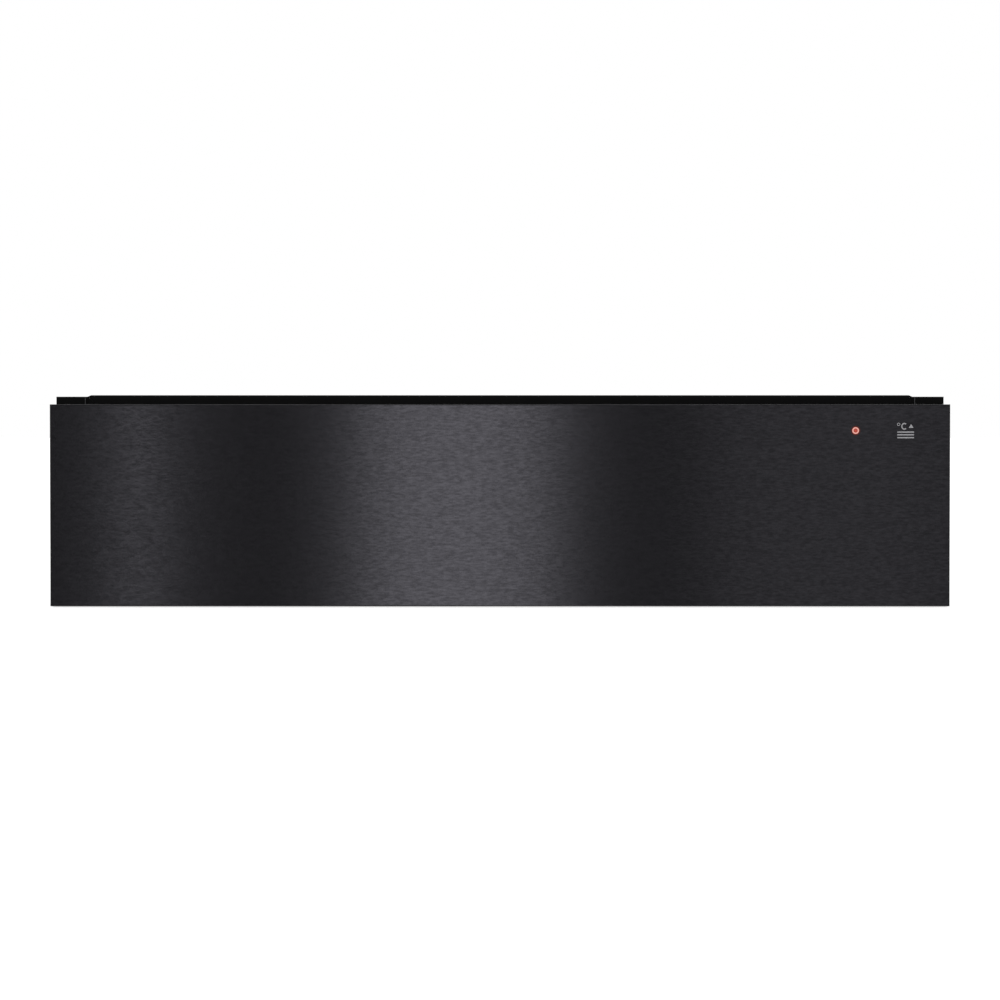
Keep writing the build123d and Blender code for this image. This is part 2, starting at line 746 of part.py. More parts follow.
# Ring heater: a steel-sheathed tube bent round the fan, its ends turned back through the housing, with studs.
heater_end_y = housing_back_y + terminal_reach
leg_length = heater_end_y - leg_start.Y
with BuildPart() as ring_heater:
    with BuildLine() as heater_path:
        mirrored_end = Vector(-ring_end.X, ring_end.Y, ring_end.Z)
        mirrored_direction = Vector(-end_direction.X, 0, end_direction.Z)
        mirrored_leg = Vector(-leg_start.X, leg_start.Y, leg_start.Z)
        Line(mirrored_leg + Vector(0, leg_length, 0), mirrored_leg)
        TangentArc(mirrored_leg, mirrored_end, tangent=(0, -1, 0))
        ThreePointArc(mirrored_end, Vector(0, ring_y, fan_z + ring_radius), ring_end)
        TangentArc(ring_end, leg_start, tangent=end_direction)
        Line(leg_start, leg_start + Vector(0, leg_length, 0))
    with BuildSketch(Plane(origin=mirrored_leg + Vector(0, leg_length, 0), z_dir=(0, -1, 0))):
        Circle(ring_tube / 2)
    sweep(path=heater_path.line)
    with BuildSketch(facing(heater_end_y)):
        with Locations((leg_start.X, leg_start.Z), (-leg_start.X, leg_start.Z)):
            Circle(heater_stud_diameter / 2)
    extrude(amount=-heater_stud_length)
save(ring_heater.part, "ring_heater")


def round_the_shaft(radius, angle):
    """A point in a facing() sketch, at this radius and angle round the fan shaft."""
    return (radius * cos(radians(angle)), fan_z + radius * sin(radians(angle)))


# Clips that hold the ring off the housing's back wall.
with BuildPart() as heater_clips:
    clip_start_y = ring_y + ring_tube / 2 + clip_seat
    with BuildSketch(facing(clip_start_y)):
        with Locations(*[round_the_shaft(ring_radius, angle) for angle in clip_angles]):
            RectangleRounded(clip_width, clip_width, clip_corner)
    extrude(amount=-(housing_back_y - sheet - clip_start_y))
save(heater_clips.part, "heater_clips")

# Fan wheel: back plate, hub and curved blades.
blade_front_y = housing_front_y + fan_setback
plate_y = blade_front_y + fan_blade_height
hub_y = plate_y - fan_hub_front
with BuildPart() as fan_wheel:
    with BuildSketch(facing(plate_y)):
        with Locations((0, fan_z)):
            Circle(fan_radius - fan_plate_inset)
    extrude(amount=-fan_blade_thickness)
    with BuildSketch(facing(hub_y)):
        with Locations((0, fan_z)):
            Circle(fan_hub_diameter / 2)
    extrude(amount=-fan_hub_length)
    with BuildSketch(facing(blade_front_y)):
        for turn in range(0, 360, 360 // fan_blades):
            with BuildLine() as blade_line:
                ThreePointArc(
                    round_the_shaft(fan_blade_inner, turn),
                    round_the_shaft((fan_blade_inner + fan_radius) / 2, turn + fan_blade_sweep),
                    round_the_shaft(fan_radius, turn),
                )
                offset(amount=fan_blade_thickness, side=Side.LEFT)
            make_face(blade_line.line.edges())
    extrude(amount=-fan_blade_height)
    with BuildSketch(facing(hub_y)):
        with Locations((0, fan_z)):
            Circle(shaft_diameter / 2)
    extrude(amount=-fan_hub_length, mode=Mode.SUBTRACT)
save(fan_wheel.part, "fan_wheel")

# Motor shaft with its rotor drum, and the nut that holds the fan wheel.
core_front_y = housing_back_y + core_gap
core_back_y = core_front_y + core_stack
nut_front_y = hub_y - fan_nut_gap - fan_nut_height
shaft_front_y = nut_front_y - shaft_end
strap_back_y = core_back_y + strap_stand_off
with BuildPart() as motor_shaft:
    with BuildSketch(facing(shaft_front_y)):
        with Locations((0, fan_z)):
            Circle(shaft_diameter / 2)
    extrude(amount=-(strap_back_y + shaft_tail - shaft_front_y))
    with BuildSketch(facing(core_front_y - rotor_overhang)):
        with Locations((0, fan_z)):
            Circle(rotor_diameter / 2)
    extrude(amount=-(core_stack + 2 * rotor_overhang))
save(motor_shaft.part, "motor_shaft")

with BuildPart() as fan_nut:
    with BuildSketch(facing(nut_front_y)):
        with Locations((0, fan_z)):
            RegularPolygon(fan_nut_width / 2, 6, major_radius=False)
            Circle(shaft_diameter / 2, mode=Mode.SUBTRACT)
    extrude(amount=-fan_nut_height)
save(fan_nut.part, "fan_nut")

# Shaded-pole motor: lamination stack, coil and two bearing straps on posts.
core_left = -core_width / 2 - coil_window - coil_leg
post_places = [
    (x * post_x, fan_z + z * (core_height / 2 - post_inset)) for x in (-1, 1) for z in (-1, 1)
]
with BuildPart() as motor_core:
    with BuildSketch(facing(core_front_y)):
        with Locations(((core_left + core_width / 2) / 2, fan_z)):
            RectangleRounded(core_width / 2 - core_left, core_height, core_corner)
        with Locations((0, fan_z)):
            Circle(rotor_diameter / 2 + rotor_gap, mode=Mode.SUBTRACT)
        with Locations((core_left + coil_leg + coil_window / 2, fan_z)):
            Rectangle(coil_window, coil_height, mode=Mode.SUBTRACT)
        with Locations(*post_places):
            Circle(post_stud_diameter / 2 + fit_clearance, mode=Mode.SUBTRACT)
    extrude(amount=-core_stack)
save(motor_core.part, "motor_core")

with BuildPart() as motor_coil:
    with BuildSketch(Plane.XY.offset(fan_z - coil_height / 2 + coil_end_gap)):
        with Locations((core_left + coil_leg / 2, (core_front_y + core_back_y) / 2)):
            RectangleRounded(coil_leg + 2 * coil_build, core_stack + 2 * coil_build, coil_corner)
            Rectangle(coil_leg + 2 * coil_leg_gap, core_stack + 2 * coil_leg_gap, mode=Mode.SUBTRACT)
    extrude(amount=coil_height - 2 * coil_end_gap)
save(motor_coil.part, "motor_coil")


def bearing_strap(core_face_y, direction, name):
    """A bridge over the rotor with a sintered bush in its middle; direction is +1 towards the rear."""
    outer_y = core_face_y + direction * strap_stand_off
    side = Side.LEFT if direction > 0 else Side.RIGHT
    strap_half = strap_span / 2
    with BuildPart() as strap:
        with BuildSketch(Plane.XY.offset(fan_z - strap_width / 2)):
            fold(
                [
                    (strap_half, core_face_y),
                    (strap_half, outer_y),
                    (-strap_half, outer_y),
                    (-strap_half, core_face_y),
                ],
                side,
                strap_sheet,
                strap_sheet + strap_bend_inside,
            )
        extrude(amount=strap_width)
        with BuildSketch(facing(outer_y)):
            with Locations((0, fan_z)):
                Circle(shaft_diameter / 2 + bush_wall)
        extrude(amount=direction * bush_length)
        with BuildSketch(facing(outer_y - direction)):
            with Locations((0, fan_z)):
                Circle(shaft_diameter / 2 + shaft_clearance)
        extrude(amount=direction * (bush_length + 2 * strap_sheet), both=True, mode=Mode.SUBTRACT)
    save(strap.part, name)


bearing_strap(core_front_y, -1, "bearing_strap_front")
bearing_strap(core_back_y, 1, "bearing_strap_back")

# Posts that carry the motor: each runs on as a bolt through the core, to its head.
with BuildPart() as motor_posts:
    for start_y, diameter, reach in (
        (housing_back_y, post_diameter, core_gap),
        (core_front_y, post_stud_diameter, core_stack),
        (core_back_y, post_diameter, post_head_height),
    ):
        with BuildSketch(facing(start_y)):
            with Locations(*post_places):
                Circle(diameter / 2)
        extrude(amount=-reach)
save(motor_posts.part, "motor_posts")

# Thermal cut-out on the side of the housing, with its two tabs.
cutout_z = fan_z + cutout_lift
with BuildPart() as thermal_cutout:
    with BuildSketch(Plane.YZ.offset(-housing_width / 2)):
        with Locations((housing_mid_y, cutout_z)):
            Circle(cutout_diameter / 2)
    extrude(amount=-cutout_height)
    with BuildSketch(Plane.YZ.offset(-housing_width / 2 - cutout_height)):
        with Locations((housing_mid_y, cutout_z)):
            with GridLocations(tab_spacing, 1, 2, 1):
                Rectangle(tab_thickness, tab_width)
    extrude(amount=-tab_length)
save(thermal_cutout.part, "thermal_cutout")

# ================================================================== rear fittings
terminal_y = rear_panel_y - gland_inside - terminal_gap - terminal_depth / 2
with BuildPart() as terminal_block:
    with BuildSketch(Plane.XY.offset(sheet)):
        with Locations((gland_x, terminal_y)):
            Rectangle(terminal_width, terminal_depth)
    extrude(amount=terminal_height)
    chamfer(terminal_block.faces().sort_by(Axis.Z)[-1].edges(), plastic_edge)
    with BuildSketch(Plane.XY.offset(sheet + terminal_height)):
        with Locations((gland_x, terminal_y)):
            with GridLocations(terminal_width / terminal_ways, terminal_depth / 2, terminal_ways, 2):
                Circle(terminal_well / 2)
    extrude(amount=-terminal_well_depth, mode=Mode.SUBTRACT)
save(terminal_block.part, "terminal_block")

# Cable gland in the rear panel and its nut. The bore takes the supply cord.
panel_outer_y = rear_panel_y + sheet
flange_y = panel_outer_y + gland_flange_thickness
with BuildPart() as cable_gland:
    with BuildSketch(Plane.YZ.offset(gland_x)):
        with BuildLine():
            Polyline(
                (rear_panel_y - gland_inside, gland_z + cord_bore / 2),
                (rear_panel_y - gland_inside, gland_z + gland_hole / 2),
                (panel_outer_y, gland_z + gland_hole / 2),
                (panel_outer_y, gland_z + gland_flange / 2),
                (flange_y, gland_z + gland_flange / 2),
                (flange_y + gland_chamfer_depth, gland_z + gland_flange / 2 - gland_chamfer_height),
                (overall_depth / 2, gland_z + cord_bore / 2 + gland_nose_wall),
                (overall_depth / 2, gland_z + cord_bore / 2),
                close=True,
            )
        make_face()
    revolve(axis=Axis((gland_x, 0, gland_z), (0, 1, 0)))
save(cable_gland.part, "cable_gland")

with BuildPart() as gland_nut:
    with BuildSketch(facing(rear_panel_y - gland_nut_thickness)):
        with Locations((gland_x, gland_z)):
            RegularPolygon(gland_nut_width / 2, 6, major_radius=False)
            Circle(gland_hole / 2 + fit_clearance, mode=Mode.SUBTRACT)
    extrude(amount=-gland_nut_thickness)
save(gland_nut.part, "gland_nut")

# Wiring loom from the terminal block along the base pan, with a riser to each heater stud.
loom_y = heater_end_y + loom_gap
loom_z = sheet + harness_diameter / 2 + loom_lift
riser_top = leg_start.Z - heater_stud_diameter / 2
loom_turn = gland_x - terminal_width / 2 - loom_reach
with BuildPart() as wiring_loom:
    with BuildLine() as loom_path:
        FilletPolyline(
            (gland_x - terminal_width / 2, terminal_y, loom_z),
            (loom_turn, terminal_y, loom_z),
            (loom_turn - loom_reach, loom_y, loom_z),
            (leg_start.X, loom_y, loom_z),
            (leg_start.X, loom_y, riser_top),
            radius=2 * harness_diameter,
        )
    with BuildSketch(Plane(origin=loom_path.line @ 0, z_dir=loom_path.line % 0)):
        Circle(harness_diameter / 2)
    sweep(path=loom_path.line)
    with BuildSketch(Plane.XY.offset(loom_z)):
        with Locations((-leg_start.X, loom_y)):
            Circle(harness_diameter / 2)
    extrude(amount=riser_top - loom_z)
save(wiring_loom.part, "wiring_loom")

# Push latches on the base pan. Each takes the tongue of a striker on the tub's back.
latch_front_y = rim_back_y + push_travel + latch_front_gap
latch_slot_depth = tongue_length + push_travel + latch_slot_spare
with BuildPart() as push_latches:
    for x in (-latch_x, latch_x):
        with BuildSketch(Plane.XY.offset(sheet)):
            with Locations((x, latch_front_y + latch_length / 2)):
                RectangleRounded(latch_width, latch_length, latch_corner)
        extrude(amount=latch_height)
        fillet(push_latches.faces(Select.LAST).sort_by(Axis.Z)[-1].edges(), latch_edge)
        with BuildSketch(facing(latch_front_y)):
            with Locations((x, tongue_z)):
                Rectangle(tongue_width + 2 * tongue_clearance, tongue_width + 2 * tongue_clearance)
        extrude(amount=-latch_slot_depth, mode=Mode.SUBTRACT)
save(push_latches.part, "push_latches")

with BuildPart() as latch_strikers:
    for x in (-latch_x, latch_x):
        with BuildSketch(facing(tub_back_y)):
            with Locations((x, tub_bottom + tub_foot + striker_height / 2)):
                Rectangle(striker_width, striker_height)
            with Locations((x, (tongue_z - tongue_width / 2 + tub_bottom + tub_foot) / 2)):
                Rectangle(tongue_width, tub_bottom + tub_foot - tongue_z + tongue_width / 2)
        extrude(amount=-strap_sheet)
        with BuildSketch(facing(tub_back_y)):
            with Locations((x, tongue_z)):
                Rectangle(tongue_width, tongue_width)
        extrude(amount=-tongue_length)
save(latch_strikers.part, "latch_strikers")

# ================================================================== drawer front
with BuildPart() as fascia:
    with BuildSketch(facing(front_y)):
        with Locations((0, fascia_mid_z)):
            Rectangle(fascia_width, fascia_height)
    extrude(amount=-fascia_depth)
    offset(amount=-sheet, openings=fascia.faces().sort_by(Axis.Y)[-1])
    fillet(fascia.faces().sort_by(Axis.Y)[0].edges(), fascia_edge_radius)
    with BuildSketch(facing(backing_back_y)):
        with Locations((0, fascia_mid_z)):
            Rectangle(fascia_width - sheet, fascia_height - sheet)
            RectangleRounded(
                fascia_width - 2 * fascia_return,
                fascia_height - 2 * fascia_return,
                2 * bend,
                mode=Mode.SUBTRACT,
            )
    extrude(amount=-sheet)
    with BuildSketch(facing(front_y)):
        with Locations((lamp_x, lamp_z)):
            Circle(lens_diameter / 2 + fit_clearance)
    extrude(amount=-sheet, mode=Mode.SUBTRACT)
save(fascia.part, "fascia")

# Inner panel, held in front of the fascia's returns.
with BuildPart() as fascia_backing:
    with BuildSketch(facing(backing_back_y - sheet)):
        with Locations((0, fascia_mid_z)):
            RectangleRounded(
                fascia_width - 2 * sheet - 2 * seam, fascia_height - 2 * sheet - 2 * seam, bend
            )
    extrude(amount=-sheet)
    with BuildSketch(facing(backing_back_y - sheet)):
        with Locations((0, fascia_mid_z - bead_width / 2)):
            SlotOverall(fascia_width - 8 * fascia_return, bead_width)
    extrude(amount=bead_height, taper=bead_taper)
    with BuildSketch(facing(backing_back_y)):
        with Locations((0, fascia_mid_z - bead_width / 2)):
            SlotOverall(fascia_width - 8 * fascia_return - 2 * sheet, bead_width - 2 * sheet)
    extrude(amount=bead_height, taper=bead_taper, mode=Mode.SUBTRACT)
save(fascia_backing.part, "fascia_backing")

lens_y = front_y + lens_recess
# Indicator: a clear lens ring in the fascia, and the lamp behind it with a red nose through the ring.
with BuildPart() as indicator_lens:
    with BuildSketch(facing(lens_y)):
        with Locations((lamp_x, lamp_z)):
            Circle(lens_diameter / 2)
            Circle(lamp_nose_diameter / 2 + fit_clearance, mode=Mode.SUBTRACT)
    extrude(amount=-lens_length)
    fillet(indicator_lens.edges().filter_by(GeomType.CIRCLE).group_by(Axis.Y)[0], lens_edge)
save(indicator_lens.part, "indicator_lens")

with BuildPart() as indicator_lamp:
    with BuildSketch(facing(lens_y + lamp_nose_recess)):
        with Locations((lamp_x, lamp_z)):
            Circle(lamp_nose_diameter / 2)
    extrude(amount=-(lens_length + sheet))
    with BuildSketch(facing(lens_y + lens_length)):
        with Locations((lamp_x, lamp_z)):
            Circle(lamp_body_diameter / 2)
    extrude(amount=-lamp_body_length)
    fillet(indicator_lamp.edges().filter_by(GeomType.CIRCLE).group_by(Axis.Y)[-1], plastic_edge)
save(indicator_lamp.part, "indicator_lamp")

# ================================================================== tub
hat_screw_z = (hat_bottom + hat_screw_inset, hat_bottom + hat_height - hat_screw_inset)
fascia_screws = [(s * hat_x, z) for s in (-1, 1) for z in hat_screw_z]
with BuildPart() as tub:
    with BuildSketch(Plane.XY.offset(tub_bottom)):
        with Locations((0, tub_mid_y)):
            RectangleRounded(tub_width, tub_depth, tub_corner)
    extrude(amount=tub_height)
    fillet(tub.faces().sort_by(Axis.Z)[0].edges(), tub_foot)
    offset(amount=-sheet, openings=tub.faces().sort_by(Axis.Z)[-1])
    with BuildSketch(Plane.XY.offset(tub_top - sheet)):
        with Locations((0, (tub_front_y - rim_front + rim_back_y) / 2)):
            RectangleRounded(
                tub_width + 2 * rim_side, rim_back_y - tub_front_y + rim_front, tub_corner + rim_front
            )
        with Locations((0, tub_mid_y)):
            RectangleRounded(tub_width - sheet, tub_depth - sheet, tub_corner, mode=Mode.SUBTRACT)
    extrude(amount=sheet)
    with BuildSketch(facing(tub_back_y - sheet)):
        with Locations((0, window_z)):
            RectangleRounded(window_width, window_height, window_corner)
    extrude(amount=-sheet, mode=Mode.SUBTRACT)
    with BuildSketch(Plane.YZ.offset(-tub_half)):
        with Locations(*[(y, slide_z) for y in slide_screw_y]):
            Circle(screw_hole / 2)
    extrude(amount=tub_width, mode=Mode.SUBTRACT)
    with BuildSketch(facing(tub_front_y)):
        with Locations(*fascia_screws):
            Circle(screw_hole / 2)
    extrude(amount=-sheet, mode=Mode.SUBTRACT)
save(tub.part, "tub")

# Air grille inside the tub's back wall: radial intake slots over the fan, upright outlet slots each side.
grille_width = window_width + 2 * grille_overlap
grille_height = window_height + 2 * grille_overlap
grille_screws = [
    (x * (grille_width / 2 - grille_overlap / 2), window_z + z * (grille_height / 2 - grille_overlap / 2))
    for x in (-1, 1)
    for z in (-1, 1)
]
with BuildPart() as air_grille:
    with BuildSketch(facing(tub_back_y - 2 * sheet)):
        with Locations((0, window_z)):
            RectangleRounded(grille_width, grille_height, window_corner)
            with PolarLocations(intake_radius, intake_slots):
                SlotOverall(intake_slot_length, intake_slot_width, mode=Mode.SUBTRACT)
        for x in (-outlet_centre, outlet_centre):
            with Locations((x, window_z)):
                with GridLocations(outlet_spacing, 1, outlet_slots, 1):
                    SlotOverall(outlet_slot_length, outlet_slot_width, rotation=90, mode=Mode.SUBTRACT)
        with Locations(*grille_screws):
            Circle(small_hole / 2, mode=Mode.SUBTRACT)
    extrude(amount=-sheet)
save(air_grille.part, "air_grille")

# Non-slip mat on the tub floor.
with BuildPart() as non_slip_mat:
    with BuildSketch(Plane.XY.offset(tub_bottom + sheet)):
        with Locations((0, tub_mid_y)):
            RectangleRounded(tub_width - 2 * mat_margin, tub_depth - 2 * mat_margin, mat_corner)
    extrude(amount=mat_thickness)
    fillet(non_slip_mat.faces().sort_by(Axis.Z)[-1].edges(), mat_edge)
save(non_slip_mat.part, "non_slip_mat")

# Hat brackets that carry the fascia on the tub's front wall.
with BuildPart() as fascia_bracket:
    with BuildSketch(Plane.XY.offset(hat_bottom)):
        fold(
            [
                (hat_x - hat_width / 2 - hat_flange, fascia_back_y),
                (hat_x - hat_width / 2, fascia_back_y),
                (hat_x - hat_width / 2, tub_front_y),
                (hat_x + hat_width / 2, tub_front_y),
                (hat_x + hat_width / 2, fascia_back_y),
                (hat_x + hat_width / 2 + hat_flange, fascia_back_y),
            ],
            Side.RIGHT,
            sheet,
            bend + panel_play,
        )
    extrude(amount=hat_height)
    with BuildSketch(facing(tub_front_y - sheet)):
        with Locations(*fascia_screws):
            Circle(screw_hole / 2)
    extrude(amount=-sheet, mode=Mode.SUBTRACT)
save_pair(fascia_bracket.part, "fascia_bracket")

# ================================================================== deck and temperature control
deck_skirt_z = deck_top - deck_skirt
control_right = deck_half - sheet - control_side_gap
control_front_y = fascia_back_y + sheet + control_play
wheel_x = control_right - control_end_wall - wheel_clearance - wheel_width / 2
wheel_y = control_front_y + control_wall + wheel_clearance + wheel_radius
wheel_z = deck_top + wheel_proud - wheel_radius
with BuildPart() as deck:
    with BuildSketch(Plane.XY.offset(deck_skirt_z)):
        with Locations((0, (fascia_back_y + deck_back_y) / 2)):
            Rectangle(2 * deck_half, deck_back_y - fascia_back_y)
    extrude(amount=deck_skirt)
    fillet(deck.faces().sort_by(Axis.Z)[-1].edges().filter_by(Axis.Y), bend)
    offset(amount=-sheet, openings=[deck.faces().sort_by(Axis.Z)[0], deck.faces().sort_by(Axis.Y)[-1]])
    with BuildSketch(Plane.XY.offset(deck_top - sheet)):
        with Locations((wheel_x, wheel_y)):
            RectangleRounded(
                wheel_width + 2 * wheel_clearance, 2 * wheel_radius - sheet, wheel_opening_corner
            )
    extrude(amount=sheet, mode=Mode.SUBTRACT)
    with BuildSketch(Plane.XY.offset(deck_skirt_z)):
        with Locations((0, deck_back_y)):
            Rectangle(
                tub_width + 2 * (rim_side + panel_play), 2 * (deck_back_y - tub_front_y + rim_front + seam)
            )
    extrude(amount=deck_skirt - sheet, mode=Mode.SUBTRACT)
save(deck.part, "deck")

# Control housing under the deck's right end: a moulded box with a wheel well and a seat for the thermostat.
control_left = control_right - control_width
control_back_y = tub_front_y - rim_front - seam
control_top = deck_top - sheet
control_mid_y = (control_front_y + control_back_y) / 2
well_left = wheel_x - wheel_width / 2 - wheel_clearance
spindle_left = control_left + thermostat_length - spindle_seat
spindle_right = control_right - spindle_cover - spindle_play
with BuildPart() as control_housing:
    with BuildSketch(Plane.XY.offset(control_top - control_height)):
        with Locations(((control_left + control_right) / 2, control_mid_y)):
            RectangleRounded(control_width, control_back_y - control_front_y, control_corner)
    extrude(amount=control_height)
    with BuildSketch(Plane.YZ.offset(well_left)):
        with Locations((wheel_y, wheel_z)):
            Circle(wheel_radius + wheel_clearance)
            with Locations((0, wheel_radius)):
                Rectangle(2 * (wheel_radius + wheel_clearance), 2 * wheel_radius)
    extrude(amount=wheel_width + 2 * wheel_clearance, mode=Mode.SUBTRACT)
    with BuildSketch(Plane.YZ.offset(control_left)):
        with Locations((wheel_y, wheel_z)):
            Circle(thermostat_diameter / 2 + fit_clearance)
    extrude(amount=thermostat_length + fit_clearance, mode=Mode.SUBTRACT)
    with BuildSketch(Plane.YZ.offset(control_left)):
        with Locations((wheel_y, wheel_z)):
            Circle(spindle_diameter / 2 + shaft_clearance)
    extrude(amount=spindle_right + spindle_play - control_left, mode=Mode.SUBTRACT)
save(control_housing.part, "control_housing")

# Thermostat: its round body sits in the housing's left side; the wheel's spindle turns in it.
with BuildPart() as thermostat:
    with BuildSketch(Plane.YZ.offset(control_left)):
        with Locations((wheel_y, wheel_z)):
            Circle(thermostat_diameter / 2)
    extrude(amount=thermostat_length)
    chamfer(thermostat.faces().sort_by(Axis.X)[0].edges(), plastic_edge)
    with BuildSketch(Plane.YZ.offset(control_left + thermostat_length)):
        with Locations((wheel_y, wheel_z)):
            Circle(spindle_diameter / 2 + shaft_clearance)
    extrude(amount=-(spindle_seat + spindle_play), mode=Mode.SUBTRACT)
save(thermostat.part, "thermostat")

# Temperature wheel: a ribbed rim, dished sides and its spindle.
with BuildPart() as temperature_wheel:
    with BuildSketch(Plane.YZ.offset(wheel_x - wheel_width / 2)):
        with Locations((wheel_y, wheel_z)):
            Circle(wheel_radius - rib_depth)
            with PolarLocations(wheel_radius - rib_depth, wheel_ribs):
                Rectangle(2 * rib_depth, rib_width)
    extrude(amount=wheel_width)
    for face_x, way in ((wheel_x - wheel_width / 2, 1), (wheel_x + wheel_width / 2, -1)):
        with BuildSketch(Plane.YZ.offset(face_x)):
            with Locations((wheel_y, wheel_z)):
                Circle(wheel_radius - wheel_rim)
                Circle(spindle_diameter / 2 + wheel_hub_wall, mode=Mode.SUBTRACT)
        extrude(amount=way * wheel_dish, mode=Mode.SUBTRACT)
    with BuildSketch(Plane.YZ.offset(spindle_left)):
        with Locations((wheel_y, wheel_z)):
            Circle(spindle_diameter / 2)
    extrude(amount=spindle_right - spindle_left)
save(temperature_wheel.part, "temperature_wheel")

# Drawer harness: from the control housing down and along the tub's side to a connector at the back.
harness_x = tub_half + harness_stand_off
harness_start_y = control_mid_y
harness_end_y = tub_back_y - harness_end_gap
with BuildPart() as drawer_harness:
    with BuildLine() as harness_path:
        FilletPolyline(
            (harness_x, harness_start_y, control_top - control_height),
            (harness_x, harness_start_y, harness_z),
            (harness_x, harness_end_y, harness_z),
            radius=harness_bend,
        )
    with BuildSketch(Plane(origin=harness_path.line @ 0, z_dir=harness_path.line % 0)):
        Circle(harness_diameter / 2)
    sweep(path=harness_path.line)
save(drawer_harness.part, "drawer_harness")

with BuildPart() as harness_connector:
    with BuildSketch(Plane.XY.offset(harness_z - connector_length / 2)):
        with Locations((tub_half + connector_width / 2, harness_end_y + connector_length / 2)):
            RectangleRounded(connector_width, connector_length, connector_corner)
    extrude(amount=connector_length)
save(harness_connector.part, "harness_connector")

clip_y = [tub_mid_y - clip_length + step * harness_clip_spacing for step in (-1, 0, 1)]
clip_radius = harness_diameter / 2 + clip_wall
with BuildPart() as harness_clips:
    with BuildSketch(facing(0)):
        with Locations((harness_x, harness_z)):
            Circle(clip_radius)
            with Locations((-clip_radius, 0)):
                Rectangle(2 * clip_radius, 2 * clip_radius)
            Circle(harness_diameter / 2 + fit_clearance, mode=Mode.SUBTRACT)
        with Locations((tub_half - clip_radius, harness_z)):
            Rectangle(2 * clip_radius, 4 * clip_radius, mode=Mode.SUBTRACT)
    extrude(amount=-clip_length)
one_clip = harness_clips.part
with BuildPart() as harness_clips:
    with Locations(*[(0, y, 0) for y in clip_y]):
        add(one_clip)
save(harness_clips.part, "harness_clips")

# ================================================================== fasteners
def fasteners(places, diameter, length, name):
    """Pan heads on shanks. Each place is (point under the head, direction that the head faces)."""
    with BuildPart() as group:
        for point, outward in places:
            with BuildSketch(Plane(origin=point, z_dir=outward)):
                Circle(diameter)
            extrude(amount=head_height, taper=head_taper)
            with BuildSketch(Plane(origin=point, z_dir=outward)):
                Circle(diameter / 2)
            extrude(amount=-length)
    save(group.part, name)


fasteners(
    [((s * (tub_half - sheet), y, slide_z), (-s, 0, 0)) for s in (-1, 1) for y in slide_screw_y]
    + [((x, tub_front_y + sheet, z), (0, 1, 0)) for x, z in fascia_screws],
    screw_diameter,
    sheet + slide_sheet,
    "tub_screws",
)
fasteners(
    [((x, tub_back_y - 2 * sheet, z), (0, -1, 0)) for x, z in grille_screws],
    small_screw,
    sheet,
    "grille_screws",
)
fasteners(
    [((s * body_half, y, cover_screw_z), (s, 0, 0)) for s in (-1, 1) for y in cover_side_screws]
    + [((x, body_back_y, cover_screw_z), (0, 1, 0)) for x in cover_back_screws],
    screw_diameter,
    2 * sheet,
    "cover_screws",
)
fasteners(
    [
        ((s * side_outer_x, y, z), (s, 0, 0))
        for s in (-1, 1)
        for y in rivet_rows
        for z in (pan_rivet_z, slide_z - bracket_rivet_step, slide_z + bracket_rivet_step)
    ],
    rivet_diameter,
    2 * sheet,
    "body_rivets",
)
print("built", len(os.listdir("parts")), "parts")
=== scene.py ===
"""Finishes and fine pieces of the built-in warming drawer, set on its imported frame."""

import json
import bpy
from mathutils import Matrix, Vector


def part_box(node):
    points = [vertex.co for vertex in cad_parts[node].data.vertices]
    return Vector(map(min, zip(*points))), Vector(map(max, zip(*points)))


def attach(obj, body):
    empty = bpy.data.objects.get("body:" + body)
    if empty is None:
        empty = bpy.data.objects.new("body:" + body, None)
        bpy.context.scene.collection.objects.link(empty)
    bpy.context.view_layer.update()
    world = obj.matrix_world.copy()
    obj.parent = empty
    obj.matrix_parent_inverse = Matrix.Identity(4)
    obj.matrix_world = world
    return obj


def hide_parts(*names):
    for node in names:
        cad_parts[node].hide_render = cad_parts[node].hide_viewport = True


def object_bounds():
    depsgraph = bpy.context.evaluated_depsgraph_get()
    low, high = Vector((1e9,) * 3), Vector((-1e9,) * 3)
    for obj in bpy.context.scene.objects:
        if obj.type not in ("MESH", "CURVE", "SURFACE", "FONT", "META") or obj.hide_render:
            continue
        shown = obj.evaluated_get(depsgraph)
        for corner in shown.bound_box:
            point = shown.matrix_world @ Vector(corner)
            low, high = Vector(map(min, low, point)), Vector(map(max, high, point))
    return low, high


bl_info = {
    "name": "Built-in Warming Drawer",
    "version": (1, 0, 0),
    "blender": (4, 5, 0),
    "location": "View3D > Sidebar > Warming Drawer",
    "description": "Brushed front, tub, slides, temperature wheel and fan heater of a warming drawer",
    "category": "Object",
}

from math import cos, pi, radians, sin, tau

import bmesh
import bpy
from bpy.types import Operator, Panel, PropertyGroup
from mathutils import Matrix, Vector

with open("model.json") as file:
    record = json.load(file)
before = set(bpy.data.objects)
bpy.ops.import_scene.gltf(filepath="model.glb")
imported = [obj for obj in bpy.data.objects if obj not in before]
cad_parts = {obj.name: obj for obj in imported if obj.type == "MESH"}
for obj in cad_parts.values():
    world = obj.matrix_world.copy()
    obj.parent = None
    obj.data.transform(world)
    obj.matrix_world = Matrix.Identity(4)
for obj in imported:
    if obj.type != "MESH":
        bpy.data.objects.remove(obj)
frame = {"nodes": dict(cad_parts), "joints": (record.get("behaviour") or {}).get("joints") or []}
cad_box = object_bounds()
X, Y, Z = Vector((1, 0, 0)), Vector((0, 1, 0)), Vector((0, 0, 1))
CLEAR = 0.001  # a cutter stands this far out of what it cuts
MERGE = 1e-6  # points closer than this are one


# ---------- sizes and colours a user may change
def length(name, description, default):
    return bpy.props.FloatProperty(
        name=name, description=description, default=default, min=0.0, unit="LENGTH", precision=5
    )


